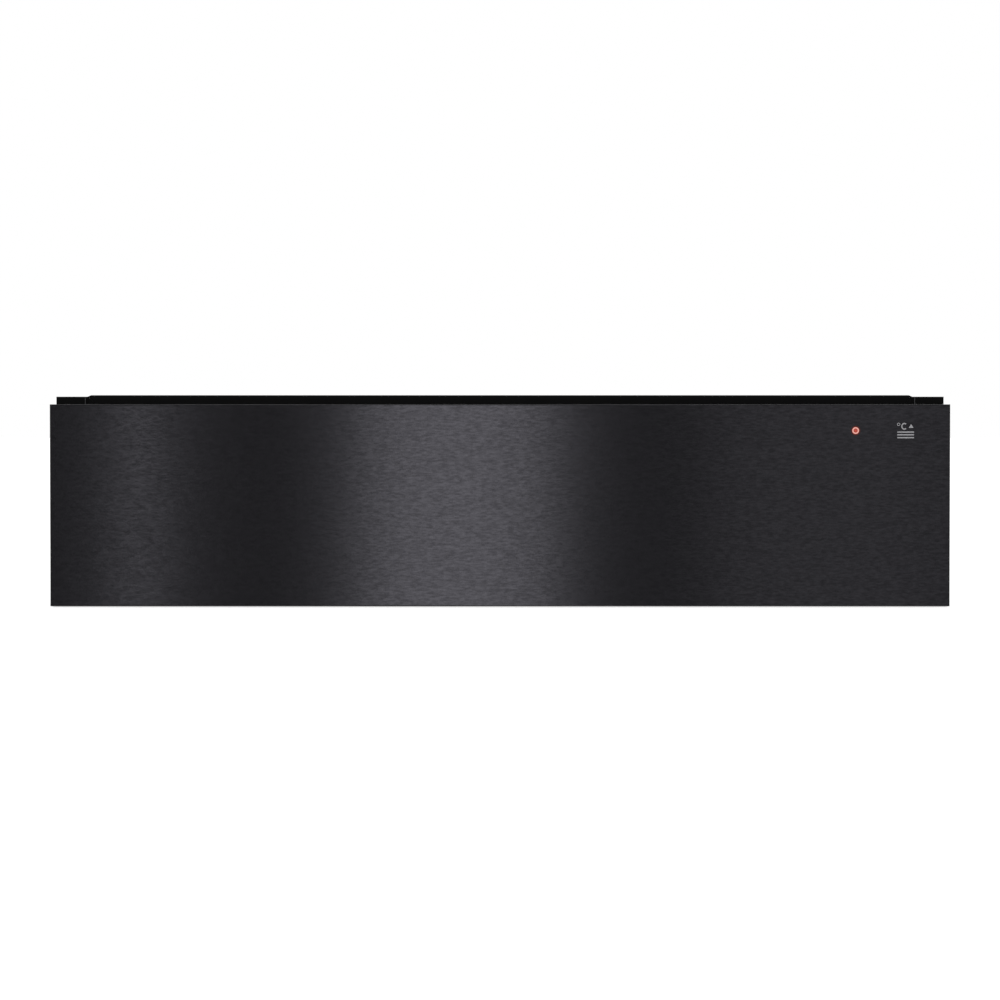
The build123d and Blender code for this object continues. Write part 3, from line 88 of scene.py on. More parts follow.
def colour(name, description, default):
    return bpy.props.FloatVectorProperty(
        name=name, description=description, default=default, size=3, min=0.0, max=1.0, subtype="COLOR"
    )


class FrontSizes(PropertyGroup):
    edge_radius: length("Edge radius", "Rounding round the brushed front", 0.0007)
    sheet: length("Sheet", "Thickness of the folded sheet", 0.001)
    back_return: length("Return", "Inward fold at the back of the front", 0.01)
    print_thickness: length("Print thickness", "Height of the printed marks", 0.00003)


class LampSizes(PropertyGroup):
    tip_radius: length("Tip radius", "The lamp's tip inside its lens", 0.00125)
    gap: length("Gap", "Room round the tip and round the lens", 0.0001)
    # the ring round the lens carries a painted glow of the lamp
    bezel_radius: length("Bezel radius", "Dark red ring round the lens", 0.0034)
    bezel_lift: length("Bezel lift", "The bezel stands this far out of the front", 0.00004)
    bezel_depth: length("Bezel depth", "The bezel goes this far into the front", 0.0004)


class FrameSizes(PropertyGroup):
    step: length("Step", "The frame stands this far in front of its flanges", 0.001)
    drop: length("Drop", "The flanges end this far below the top rail", 0.001)
    fold_place: length("Fold line", "From the middle to the raised line on each flange", 0.2767)
    fold_radius: length("Fold radius", "Half the width of the raised line", 0.0003)


class TubSizes(PropertyGroup):
    rim_side: length("Side rim", "Rim over the slides", 0.008)
    rim_front: length("Front rim", "Rim under the deck", 0.003)
    rim_back: length("Back rim", "Rim over the back wall", 0.004)
    rim_bend: length("Rim bend", "Radius where the walls turn into the rim", 0.0012)
    corner: length("Corner radius", "Upright corners of the tub", 0.01)
    foot: length("Foot radius", "Between the walls and the floor", 0.005)
    sheet: length("Sheet", "Thickness of the tub", 0.001)
    window_lap: length("Window lap", "The grille laps this far over its window", 0.009)
    window_corner: length("Window corner", "Corner radius of the window", 0.006)


class MatSizes(PropertyGroup):
    corner: length("Corner radius", "Corners of the mat", 0.01)
    edge: length("Edge radius", "Rounding of the top edge", 0.0008)
    border: length("Border", "Raised border round the field", 0.006)
    slope: length("Slope", "Width of the slope from the border down to the field", 0.0006)
    sunk: length("Sunk", "The field lies this far below the border", 0.0005)


class ControlSizes(PropertyGroup):
    width: length("Width", "Width of the temperature wheel", 0.011)
    rib_height: length("Rib height", "Grip ribs on the temperature wheel", 0.0007)
    band: length("Number band", "Smooth band between the ribs", 0.0056)
    plain_edge: length("Plain edge", "Smooth rim outside the ribs", 0.0006)
    dish_rim: length("Dish rim", "Flat rim round the dish in each end", 0.003)
    dish_depth: length("Dish depth", "Depth of the dish in each end", 0.002)
    spindle_radius: length("Spindle radius", "Pin that the wheel turns on", 0.002)
    digit: length("Digit height", "Numbers on the wheel", 0.0042)
    digit_depth: length("Digit depth", "Thickness of the numbers", 0.00008)


class Colours(PropertyGroup):
    front: colour("Front", "Black stainless of the front", (0.0113, 0.0110, 0.0124))
    # partly painted shade: the frame's black powder coat, darkened further for the shade that lies on the
    # frame
    coat: colour("Frame", "Black powder coat of the frame", (0.0016, 0.0016, 0.0017))
    deck: colour("Deck", "Black powder coat of the deck", (0.016, 0.016, 0.018))
    stainless: colour("Stainless", "Tub and grille", (0.62, 0.615, 0.60))
    galvanised: colour("Galvanised", "Folded chassis sheets", (0.52, 0.545, 0.57))
    zinc: colour("Zinc plate", "Slides", (0.66, 0.68, 0.71))
    mat: colour("Mat", "Silicone mat", (0.022, 0.022, 0.024))
    cable: colour("Cable", "Sleeves of the leads", (0.03, 0.03, 0.033))
    print_grey: colour("Print", "Printed marks", (0.27, 0.27, 0.28))
    lamp: colour("Lamp", "Indicator lamp", (0.5, 0.045, 0.022))
    lamp_rim: colour("Lamp rim", "Edge of the lamp and of its lens", (0.33, 0.03, 0.014))
    ring: colour("Lamp ring", "Pale ring round the lamp", (0.84, 0.43, 0.36))
    # painted glow: the lamp's red light on the front round the lens
    bezel: colour("Lamp bezel", "Dark red round the lens", (0.07, 0.008, 0.005))


class StageSizes(PropertyGroup):
    distance: length("Camera distance", "From the front to the camera", 2.4)
    camera_height: length("Camera height", "Above the floor", 0.1334)
    aim_height: length("Aim height", "Height at the middle of the picture", 0.0707)
    lens: bpy.props.FloatProperty(
        name="Lens", description="Focal length on a 36 mm sensor", default=130.75, min=1.0, unit="CAMERA"
    )


# ---------- modelling by hand, in code
def leave_edit():
    bpy.ops.object.mode_set(mode="OBJECT")


def clear_selection():
    if bpy.context.object and bpy.context.object.mode != "OBJECT":
        leave_edit()
    bpy.ops.object.select_all(action="DESELECT")


def take(piece):
    """Makes this the one selected and active piece."""
    clear_selection()
    piece.select_set(True)
    bpy.context.view_layer.objects.active = piece


def named(name):
    piece = bpy.context.object
    piece.name = piece.data.name = name
    bpy.ops.object.transform_apply(location=True, rotation=True, scale=True)
    return piece


def add_block(name, low, high):
    low, high = Vector(low), Vector(high)
    clear_selection()
    bpy.ops.mesh.primitive_cube_add(size=1, location=(low + high) / 2, scale=high - low)
    return named(name)


def add_rod(name, start, end, radius, sides=32):
    start, end = Vector(start), Vector(end)
    clear_selection()
    turn = (end - start).to_track_quat("Z", "Y").to_euler()
    bpy.ops.mesh.primitive_cylinder_add(
        vertices=sides, radius=radius, depth=(end - start).length, location=(start + end) / 2, rotation=turn
    )
    return named(name)


def add_ball(name, centre, radius):
    clear_selection()
    bpy.ops.mesh.primitive_uv_sphere_add(segments=16, ring_count=10, radius=radius, location=centre)
    return named(name)


def pick(piece, kind, test):
    """Selects the vertices, edges or faces that pass the test, in edit mode."""
    take(piece)
    bpy.ops.object.mode_set(mode="EDIT")
    bpy.ops.mesh.select_mode(type=kind)
    bpy.ops.mesh.select_all(action="DESELECT")
    mesh = bmesh.from_edit_mesh(piece.data)
    for item in {"VERT": mesh.verts, "EDGE": mesh.edges, "FACE": mesh.faces}[kind]:
        if test(item):
            item.select_set(True)
    mesh.select_flush_mode()
    bmesh.update_edit_mesh(piece.data)


def pick_all(piece):
    pick(piece, "VERT", lambda vert: True)


def merge_points(piece):
    pick_all(piece)
    bpy.ops.mesh.remove_doubles(threshold=MERGE)


def middle(item):
    return sum((v.co for v in item.verts), Vector()) / len(item.verts)


def near(value, target, reach=2e-5):
    return abs(value - target) < reach


def along(axis):
    """A test for edges that run along this axis."""

    def test(edge):
        a, b = (v.co for v in edge.verts)
        return abs((b - a).normalized().dot(axis)) > 0.99

    return test


def level_at(axis, place):
    """A test for edges with both ends at this place along the axis."""
    return lambda edge: all(near(v.co.dot(axis), place) for v in edge.verts)


def facing(axis):
    """A test for faces that look this way."""
    return lambda face: face.normal.dot(axis) > 0.9


def inset(width):
    bpy.ops.mesh.inset(thickness=width)


def extrude(move):
    bpy.ops.mesh.extrude_region_move(TRANSFORM_OT_translate={"value": move})


def swell(height):
    """Raises the picked faces along their normals."""
    bpy.ops.mesh.extrude_region_shrink_fatten(TRANSFORM_OT_shrink_fatten={"value": height})


def round_edges(piece, test, radius, segments=3):
    pick(piece, "EDGE", test)
    bpy.ops.mesh.bevel(offset=radius, segments=segments, affect="EDGES", profile=0.5)
    leave_edit()


def use_modifier(piece, kind, **settings):
    take(piece)
    modifier = piece.modifiers.new(kind.lower(), kind)
    for name, value in settings.items():
        setattr(modifier, name, value)
    bpy.ops.object.modifier_apply(modifier=modifier.name)


def cut(piece, cutter):
    use_modifier(piece, "BOOLEAN", operation="DIFFERENCE", solver="EXACT", object=cutter)
    bpy.data.objects.remove(cutter)


def join(name, pieces):
    take(pieces[0])
    for piece in pieces[1:]:
        piece.select_set(True)
    bpy.ops.object.join()
    joined = bpy.context.object
    joined.name = joined.data.name = name
    return joined


def copy_at(piece, move):
    """A copy with its own mesh, moved by this matrix."""
    other = piece.copy()
    other.data = piece.data.copy()
    bpy.context.collection.objects.link(other)
    other.data.transform(move)
    return other


def paint(mesh, material):
    """Gives the whole mesh one material."""
    if mesh.materials:
        for index in range(len(mesh.materials)):
            mesh.materials[index] = material
    else:
        mesh.materials.append(material)


def set_down(piece, body, material, angle=35):
    """Finishes a piece: smooth shading, its material, the body that it rides on."""
    take(piece)
    bpy.ops.object.shade_smooth_by_angle(angle=radians(angle))
    use_modifier(piece, "WEIGHTED_NORMAL", keep_sharp=True, weight=100)
    paint(piece.data, material)
    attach(piece, body)
    return piece


def dress(nodes, material):
    """Gives CAD nodes a better finish."""
    for name in nodes:
        paint(frame["nodes"][name].data, material)


def solids(node):
    """The separate solids of a CAD node, as lists of points."""
    mesh = bmesh.new()
    mesh.from_mesh(frame["nodes"][node].data)
    bmesh.ops.remove_doubles(mesh, verts=mesh.verts, dist=MERGE)
    left, found = set(mesh.verts), []
    while left:
        heap, group = [left.pop()], []
        while heap:
            vert = heap.pop()
            group.append(vert.co.copy())
            for edge in vert.link_edges:
                other = edge.other_vert(vert)
                if other in left:
                    left.remove(other)
                    heap.append(other)
        found.append(group)
    mesh.free()
    return sorted(found, key=lambda points: tuple(round(c, 5) for c in sum(points, Vector()) / len(points)))


def box_of(points):
    low = Vector(min(p[i] for p in points) for i in range(3))
    high = Vector(max(p[i] for p in points) for i in range(3))
    return low, high


# ---------- finishes
def set_values(node, **values):
    """Each value is for the node's socket or setting of that name."""
    for name, value in values.items():
        socket = name.replace("_", " ")
        if socket in node.inputs:
            node.inputs[socket].default_value = value
        else:
            setattr(node, name, value)
    return node


def add_node(tree, kind, **values):
    return set_values(tree.nodes.new(kind), **values)


def shader_of(material):
    return material.node_tree.nodes["Principled BSDF"]


def start_finish(name, base, **values):
    material = bpy.data.materials.new(name)
    material.use_nodes = True
    set_values(shader_of(material), Base_Color=(*base, 1), **values)
    return material


def pattern(material, kind, repeats, **settings):
    """A procedural texture on the piece's own coordinates, with its repeats per metre along X, Y and Z."""
    tree = material.node_tree
    place = add_node(tree, "ShaderNodeTexCoord")
    stretch = add_node(tree, "ShaderNodeMapping", Scale=repeats)
    texture = add_node(tree, kind, **settings)
    tree.links.new(place.outputs["Object"], stretch.inputs["Vector"])
    tree.links.new(stretch.outputs["Vector"], texture.inputs["Vector"])
    return texture.outputs[0]


def noise(material, repeats, detail, **settings):
    """Noise with the same repeats every way, or with its own along X, Y and Z."""
    every_way = repeats if isinstance(repeats, tuple) else (repeats,) * 3
    return pattern(material, "ShaderNodeTexNoise", every_way, Scale=1, Detail=detail, **settings)


def stripes(material, axis, repeats):
    """Bands that follow each other along this axis."""
    one_way = tuple(float(letter == axis) for letter in "XYZ")
    settings = {"wave_type": "BANDS", "bands_direction": axis}
    return pattern(material, "ShaderNodeTexWave", one_way, Scale=repeats, **settings)


def between(material, source, low, high, start=0.3, end=0.7):
    """The pattern as a number from low to high."""
    spread = add_node(
        material.node_tree, "ShaderNodeMapRange", From_Min=start, From_Max=end, To_Min=low, To_Max=high
    )
    material.node_tree.links.new(source, spread.inputs["Value"])
    return spread.outputs["Result"]


def shade(material, source, dark, light, start=0.3, end=0.7):
    """The pattern as a colour from dark to light."""
    ramp = add_node(material.node_tree, "ShaderNodeValToRGB")
    for element, place, shown in zip(ramp.color_ramp.elements, (start, end), (dark, light)):
        element.position, element.color = place, (*shown, 1)
    material.node_tree.links.new(source, ramp.inputs["Fac"])
    return ramp.outputs["Color"]


def relief(material, source, height, strength, under=None):
    """Bump from a pattern; height is in metres."""
    bump = add_node(material.node_tree, "ShaderNodeBump", Distance=height, Strength=strength)
    material.node_tree.links.new(source, bump.inputs["Height"])
    if under is not None:
        material.node_tree.links.new(under, bump.inputs["Normal"])
    return bump.outputs["Normal"]


def feed(material, **sources):
    """Links each source to the shader's socket of that name."""
    for name, source in sources.items():
        material.node_tree.links.new(source, shader_of(material).inputs[name.replace("_", " ")])
    return material


def brush(material, amount):
    """Stretches the highlights across a grain that runs round the upright axis."""
    set_values(shader_of(material), Anisotropic=amount, Anisotropic_Rotation=0.25)
    tangent = add_node(material.node_tree, "ShaderNodeTangent", direction_type="RADIAL", axis="Z")
    feed(material, Tangent=tangent.outputs["Tangent"])


def tones(material, source, base, dark, light, **ends):
    """The pattern as a darker and a lighter tone of one colour."""
    darker, lighter = (tuple(min(1.0, c * factor) for c in base) for factor in (dark, light))
    return shade(material, source, darker, lighter, **ends)


def brushed_front(name, base):
    """Black stainless, brushed from side to side."""
    material = start_finish(name, base, Metallic=1.0, Roughness=0.215)
    brush(material, 1.0)
    grain = noise(material, (280, 900, 900), 3, Roughness=0.6)
    return feed(
        material,
        Base_Color=tones(material, grain, base, 0.78, 1.24, start=0.32, end=0.68),
        Roughness=between(material, grain, 0.235, 0.195),
    )


def powder_coat(name, base, roughness, gloss=0.45):
    material = start_finish(name, base, Roughness=roughness, Specular_IOR_Level=gloss)
    orange_peel = noise(material, 900, 2)
    mottle = noise(material, 30, 3)
    return feed(
        material,
        Base_Color=tones(material, mottle, base, 0.85, 1.15),
        Roughness=between(material, mottle, roughness - 0.04, roughness + 0.05),
        Normal=relief(material, orange_peel, height=0.00003, strength=0.5),
    )


def galvanised_sheet(name, base):
    """Zinc-dipped sheet with a fine, faint spangle."""
    material = start_finish(name, base, Metallic=1.0, Roughness=0.42)
    tree = material.node_tree
    place = add_node(tree, "ShaderNodeTexCoord")
    spangle = add_node(tree, "ShaderNodeTexVoronoi", Scale=170)
    grey = add_node(tree, "ShaderNodeRGBToBW")
    tree.links.new(place.outputs["Object"], spangle.inputs["Vector"])
    tree.links.new(spangle.outputs["Color"], grey.inputs["Color"])
    haze = noise(material, 14, 4)
    return feed(
        material,
        Base_Color=tones(material, grey.outputs["Val"], base, 0.94, 1.05, start=0.1, end=0.9),
        Roughness=between(material, haze, 0.38, 0.47),
        Normal=relief(material, haze, height=0.0002, strength=0.12),
    )


def brushed_stainless(name, base):
    """Satin stainless with a grain that runs round the walls."""
    material = start_finish(name, base, Metallic=1.0, Roughness=0.3)
    brush(material, 0.55)
    grain = noise(material, (12, 12, 1600), 3)
    haze = noise(material, 9, 4)
    return feed(
        material,
        Base_Color=tones(material, grain, base, 0.93, 1.06, start=0.35, end=0.65),
        Roughness=between(material, haze, 0.25, 0.34),
        Normal=relief(material, grain, height=0.000008, strength=0.3),
    )


def zinc_plate(name, base):
    """Roll-formed, bright zinc plated steel."""
    material = start_finish(name, base, Metallic=1.0, Roughness=0.25)
    rolling = noise(material, (500, 7, 500), 3)
    haze = noise(material, 20, 4)
    return feed(
        material,
        Base_Color=tones(material, haze, base, 0.9, 1.05),
        Roughness=between(material, rolling, 0.2, 0.36),
        Normal=relief(material, rolling, height=0.00001, strength=0.3),
    )


def silicone_mat(name, base):
    """Matt silicone with a lattice of small knobs."""
    material = start_finish(name, base, Roughness=0.72, Sheen_Weight=0.08)
    dust = noise(material, 45, 5)
    knobs = pattern(material, "ShaderNodeTexVoronoi", (210, 210, 1), Scale=1, Randomness=0.0)
    skin = relief(material, noise(material, 2600, 1), height=0.00001, strength=0.4)
    raised = between(material, knobs, 1.0, 0.0, start=0.12, end=0.34)
    return feed(
        material,
        Base_Color=tones(material, dust, base, 0.8, 1.5),
        Roughness=between(material, dust, 0.64, 0.8),
        Normal=relief(material, raised, height=0.0006, strength=0.8, under=skin),
    )


def moulded_plastic(name, base, roughness):
    """Moulded plastic with a fine spark-eroded texture."""
    material = start_finish(name, base, Roughness=roughness)
    skin = noise(material, 1600, 2)
    flow = noise(material, 25, 3)
    return feed(
        material,
        Base_Color=tones(material, flow, base, 0.92, 1.06),
        Roughness=between(material, flow, roughness - 0.05, roughness + 0.06),
        Normal=relief(material, skin, height=0.00002, strength=0.45),
    )


def rubber(name, base):
    material = start_finish(name, base, Roughness=0.78)
    skin = noise(material, 1800, 2)
    bloom = noise(material, 60, 4)
    return feed(
        material,
        Base_Color=tones(material, bloom, base, 0.8, 1.35),
        Normal=relief(material, skin, height=0.00002, strength=0.5),
    )


def rolled_aluminium(name, base):
    material = start_finish(name, base, Metallic=1.0, Roughness=0.3)
    rolling = noise(material, (9, 400, 400), 3)
    return feed(
        material,
        Base_Color=tones(material, rolling, base, 0.93, 1.04),
        Roughness=between(material, rolling, 0.24, 0.38),
        Normal=relief(material, rolling, height=0.000008, strength=0.3),
    )


def heated_tube(name, blue, straw):
    """Steel sheath with straw and blue heat tints."""
    material = start_finish(name, straw, Metallic=1.0, Roughness=0.4)
    heat = noise(material, 28, 5)
    return feed(
        material,
        Base_Color=shade(material, heat, blue, straw, start=0.36, end=0.64),
        Roughness=between(material, heat, 0.32, 0.52),
        Normal=relief(material, heat, height=0.00002, strength=0.2),
    )


def stacked_laminations(name, dark, light):
    """Half-millimetre sheets pressed into a stack along Y."""
    material = start_finish(name, dark, Metallic=1.0, Roughness=0.45)
    sheets = stripes(material, "Y", 320)
    haze = noise(material, 70, 4)
    return feed(
        material,
        Base_Color=shade(material, haze, dark, light),
        Normal=relief(material, sheets, height=0.00012, strength=0.7),
    )


def wound_copper(name, dark, light):
    """Enamelled wire, wound in layers round the core's leg; the grooves between the turns carry painted
    shade.
    """
    material = start_finish(name, light, Metallic=0.75, Roughness=0.28, Coat_Weight=0.5)
    turns_and_groove_shade = stripes(material, "Z", 420)
    return feed(
        material,
        # darker in the grooves between the turns: painted shade
        Base_Color=shade(material, turns_and_groove_shade, dark, light, start=0.1, end=0.6),
        Normal=relief(material, turns_and_groove_shade, height=0.0002, strength=0.9),
    )


def lit_lamp(name, rings, lit, centre, gloss=0.3):
    """Colours at growing distances from the lamp's axis; a part of each shines by itself."""
    widest = 0.005
    nearest = rings[0][1]
    material = start_finish(name, nearest, Roughness=0.3, Specular_IOR_Level=gloss, Emission_Strength=lit)
    tree = material.node_tree
    place = add_node(tree, "ShaderNodeTexCoord")
    flat = add_node(tree, "ShaderNodeMapping", Location=(-centre.x, 0, -centre.z), Scale=(1, 0, 1))
    reach = add_node(tree, "ShaderNodeVectorMath", operation="LENGTH")
    tree.links.new(place.outputs["Object"], flat.inputs["Vector"])
    tree.links.new(flat.outputs["Vector"], reach.inputs[0])
    ramp = add_node(tree, "ShaderNodeValToRGB")
    while len(ramp.color_ramp.elements) < len(rings):
        ramp.color_ramp.elements.new(0.5)
    for element, (distance, shown) in zip(ramp.color_ramp.elements, rings):
        element.position, element.color = distance / widest, (*shown, 1)
    spread = between(material, reach.outputs["Value"], 0, 1, start=0, end=widest)
    tree.links.new(spread, ramp.inputs["Fac"])
    dimmed = add_node(tree, "ShaderNodeMix", data_type="RGBA")
    factor, bright, dark = (dimmed.inputs[index] for index in (0, 6, 7))
    factor.default_value = lit
    dark.default_value = (0, 0, 0, 1)
    tree.links.new(ramp.outputs["Color"], bright)
    return feed(material, Base_Color=dimmed.outputs[2], Emission_Color=ramp.outputs["Color"])


def printed(name, base):
    material = start_finish(name, base, Roughness=0.55)
    ink = noise(material, 2500, 1)
    return feed(material, Base_Color=tones(material, ink, base, 0.93, 1.05))


def colours():
    return bpy.context.scene.drawer_colours


made = {}


def finish(make, name, *values, **settings):
    """The finish of this name, made once."""
    if name not in made:
        made[name] = make(name, *values, **settings)
    return made[name]


def stainless():
    return finish(brushed_stainless, "brushed_stainless", colours().stainless)


def zinc():
    return finish(zinc_plate, "zinc_plate", colours().zinc)


def black_plastic():
    return finish(moulded_plastic, "black_plastic", (0.018, 0.018, 0.019), roughness=0.48)


# ---------- pieces
class DRAWER_OT_front(Operator):
    """Folded, brushed front with softly rounded edges and the hole for the lamp"""

    bl_idname = "drawer.front"
    bl_label = "Front"

    def execute(self, context):
        sizes = context.scene.drawer_front
        low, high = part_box("fascia")
        skin = add_block("brushed_front", low, high)
        # the back folds inwards, then the metal runs back inside to the front
        width, height = high.x - low.x, high.z - low.z
        folds, walls = 2 * sizes.back_return, 2 * sizes.sheet
        pick(skin, "FACE", facing(Y))
        inset(sizes.back_return)
        extrude((0, -sizes.sheet, 0))
        extrude((0, 0, 0))
        bpy.ops.transform.resize(
            value=((width - walls) / (width - folds), 1, (height - walls) / (height - folds)),
            center_override=(low + high) / 2,
        )
        extrude((0, low.y - high.y + walls, 0))
        leave_edit()
        round_edges(skin, level_at(Y, low.y), sizes.edge_radius, 5)
        lens_low, lens_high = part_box("indicator_lens")
        lamp = (lens_low + lens_high) / 2
        hole_radius = (lens_high.x - lens_low.x) / 2 + context.scene.drawer_lamp.gap
        start, end = low.y - CLEAR, low.y + sizes.sheet + CLEAR
        cut(skin, add_rod("lamp_hole", (lamp.x, start, lamp.z), (lamp.x, end, lamp.z), hole_radius))
        black = finish(brushed_front, "brushed_black_steel", colours().front)
        set_down(skin, "drawer", black, 30)
        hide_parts("fascia")
        return {"FINISHED"}


class DRAWER_OT_indicator(Operator):
    """Pale lens ring, red lamp and the dark red bezel round them, whose red and shine are painted glow of the
    lamp
    """

    bl_idname = "drawer.indicator"
    bl_label = "Indicator"

    def execute(self, context):
        sizes, shown = context.scene.drawer_lamp, colours()
        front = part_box("fascia")[0].y
        low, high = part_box("indicator_lens")
        lamp_low, lamp_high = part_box("indicator_lamp")
        centre, radius = (low + high) / 2, (high.x - low.x) / 2
        glow = 0.5  # this part of each colour shines by itself

        def turned(name, start, end, turned_radius, sides=64):
            """A rod on the lamp's axis, from one depth to another."""
            return add_rod(name, (centre.x, start, centre.z), (centre.x, end, centre.z), turned_radius, sides)

        lens = turned("lamp_ring", low.y, high.y, radius)
        round_edges(lens, level_at(Y, low.y), radius=0.0004, segments=4)
        cut(lens, turned("bore", low.y - CLEAR, high.y + CLEAR, sizes.tip_radius + sizes.gap))
        rings = (
            (sizes.tip_radius, shown.lamp),
            (sizes.tip_radius * 1.25, shown.ring),
            (radius * 0.8, shown.ring),
            (radius * 0.94, shown.lamp_rim),
        )
        pale = finish(lit_lamp, "lamp_ring_plastic", rings, glow, centre)
        set_down(lens, "drawer", pale)
        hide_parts("indicator_lens")

        body = turned("lamp_body", high.y, lamp_high.y, (lamp_high.x - lamp_low.x) / 2, 48)
        round_edges(body, level_at(Y, lamp_high.y), radius=0.001)
        tip = turned("lamp_tip", lamp_low.y, high.y, sizes.tip_radius, 48)
        round_edges(tip, level_at(Y, lamp_low.y), radius=0.0003)
        core = ((sizes.tip_radius * 0.2, shown.lamp), (sizes.tip_radius * 0.9, shown.lamp_rim))
        red = finish(lit_lamp, "lamp_red_plastic", core, glow, centre)
        lamp = set_down(join("red_lamp", [body, tip]), "drawer", red)
        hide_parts("indicator_lamp")

        bezel_back = front + sizes.bezel_depth
        bezel = turned("lamp_bezel", front - sizes.bezel_lift, bezel_back, sizes.bezel_radius)
        cut(bezel, turned("bezel_bore", front - CLEAR, bezel_back + CLEAR, radius))
        # this ring is no lamp: its red, fading out to the front's colour, and its shine are painted glow of
        # the lamp
        painted_glow_halo = ((radius, shown.bezel), (sizes.bezel_radius, shown.front))
        dark = finish(lit_lamp, "bezel_glow", painted_glow_halo, glow, centre, gloss=0.1)
        set_down(bezel, "drawer", dark)
        return {"FINISHED"}


class DRAWER_OT_front_marks(Operator):
    """Printed temperature unit, pointer and three bars beside the lamp"""

    bl_idname = "drawer.front_marks"
    bl_label = "Front marks"

    def arc(self, name, x, z, radius, stroke, squash, start, end, steps):
        """A flat printed arc, spun round its centre; squash narrows it along X."""
        thickness, front = bpy.context.scene.drawer_front.print_thickness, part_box("fascia")[0].y
        clear_selection()
        bpy.ops.mesh.primitive_plane_add(size=1, location=(0, 0, 0))
        mark = named(name)
        angle = radians(start)
        inner, outer = radius - stroke, radius
        # the plane closes to a line across the stroke, and the line is spun
        for vert, reach in zip(mark.data.vertices, (inner, outer, inner, outer)):
            vert.co = (reach * cos(angle), 0, reach * sin(angle))
        merge_points(mark)
        bpy.ops.mesh.spin(
            steps=steps, angle=radians(end - start), center=(0, 0, 0), axis=(0, 1, 0), use_auto_merge=False
        )
        leave_edit()
        mark.data.transform(Matrix.Diagonal((squash, 1, 1, 1)))
        mark.data.transform(Matrix.Translation((x, front - thickness, z)))
        merge_points(mark)
        extrude((0, thickness, 0))
        bpy.ops.mesh.select_all(action="SELECT")
        bpy.ops.mesh.normals_make_consistent(inside=False)
        leave_edit()
        return mark

    def execute(self, context):
        thickness, front = context.scene.drawer_front.print_thickness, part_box("fascia")[0].y
        low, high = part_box("indicator_lens")
        lamp = (low + high) / 2
        # every place is measured from the lamp's middle
        marks = [
            self.arc(
                "degree", lamp.x + 0.02835, lamp.z + 0.0041,
                radius=0.00105, stroke=0.0004, squash=1.0, start=0, end=360, steps=32,
            ),
            self.arc(
                "unit", lamp.x + 0.03215, lamp.z + 0.0028,
                radius=0.00225, stroke=0.0008, squash=0.9, start=48, end=312, steps=48,
            ),
        ]

        left, right, foot, tip = lamp.x + 0.035, lamp.x + 0.0382, lamp.z + 0.0018, lamp.z + 0.0042
        tip_share = 0.02  # of the foot's width
        pointer = add_block("pointer", (left, front - thickness, foot), (right, front, tip))
        pick(pointer, "EDGE", lambda e: along(Y)(e) and middle(e).z > (foot + tip) / 2)
        bpy.ops.transform.resize(
            value=(tip_share, 1, 1), center_override=((left + right) / 2, front, lamp.z)
        )
        leave_edit()
        marks.append(pointer)

        left, right, half = lamp.x + 0.0275, lamp.x + 0.0386, 0.0004
        for drop in (0.001, 0.0028, 0.0047):
            place = lamp.z - drop
            bar = add_block("bar", (left, front - thickness, place - half), (right, front, place + half))
            round_edges(bar, along(Y), half / 2, 2)
            marks.append(bar)
        ink = finish(printed, "grey_print", colours().print_grey)
        set_down(join("front_marks", marks), "drawer", ink)
        return {"FINISHED"}


class DRAWER_OT_flange_folds(Operator):
    """Raised line along each flange of the frame, lighter than the coat as a painted highlight of the fold,
    and glossier so that it also catches light
    """

    bl_idname = "drawer.flange_folds"
    bl_label = "Flange folds"

    def execute(self, context):
        sizes = context.scene.drawer_frame
        low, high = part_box("frame_top_rail")
        seat, top = low.y + sizes.step, high.z - sizes.drop - sizes.fold_radius
        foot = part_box("frame_sill")[0].z + sizes.fold_radius
        lines = []
        for place in (-sizes.fold_place, sizes.fold_place):
            lines.append(add_rod("fold", (place, seat, foot), (place, seat, top), sizes.fold_radius, 12))
        # painted highlight: a lighter coat than the frame's, for the light that the fold catches; its gloss
        # reflects real light
        fold_highlight_paint = finish(powder_coat, "rubbed_coat", colours().deck, roughness=0.36)
        set_down(join("flange_folds", lines), "chassis", fold_highlight_paint)
        return {"FINISHED"}


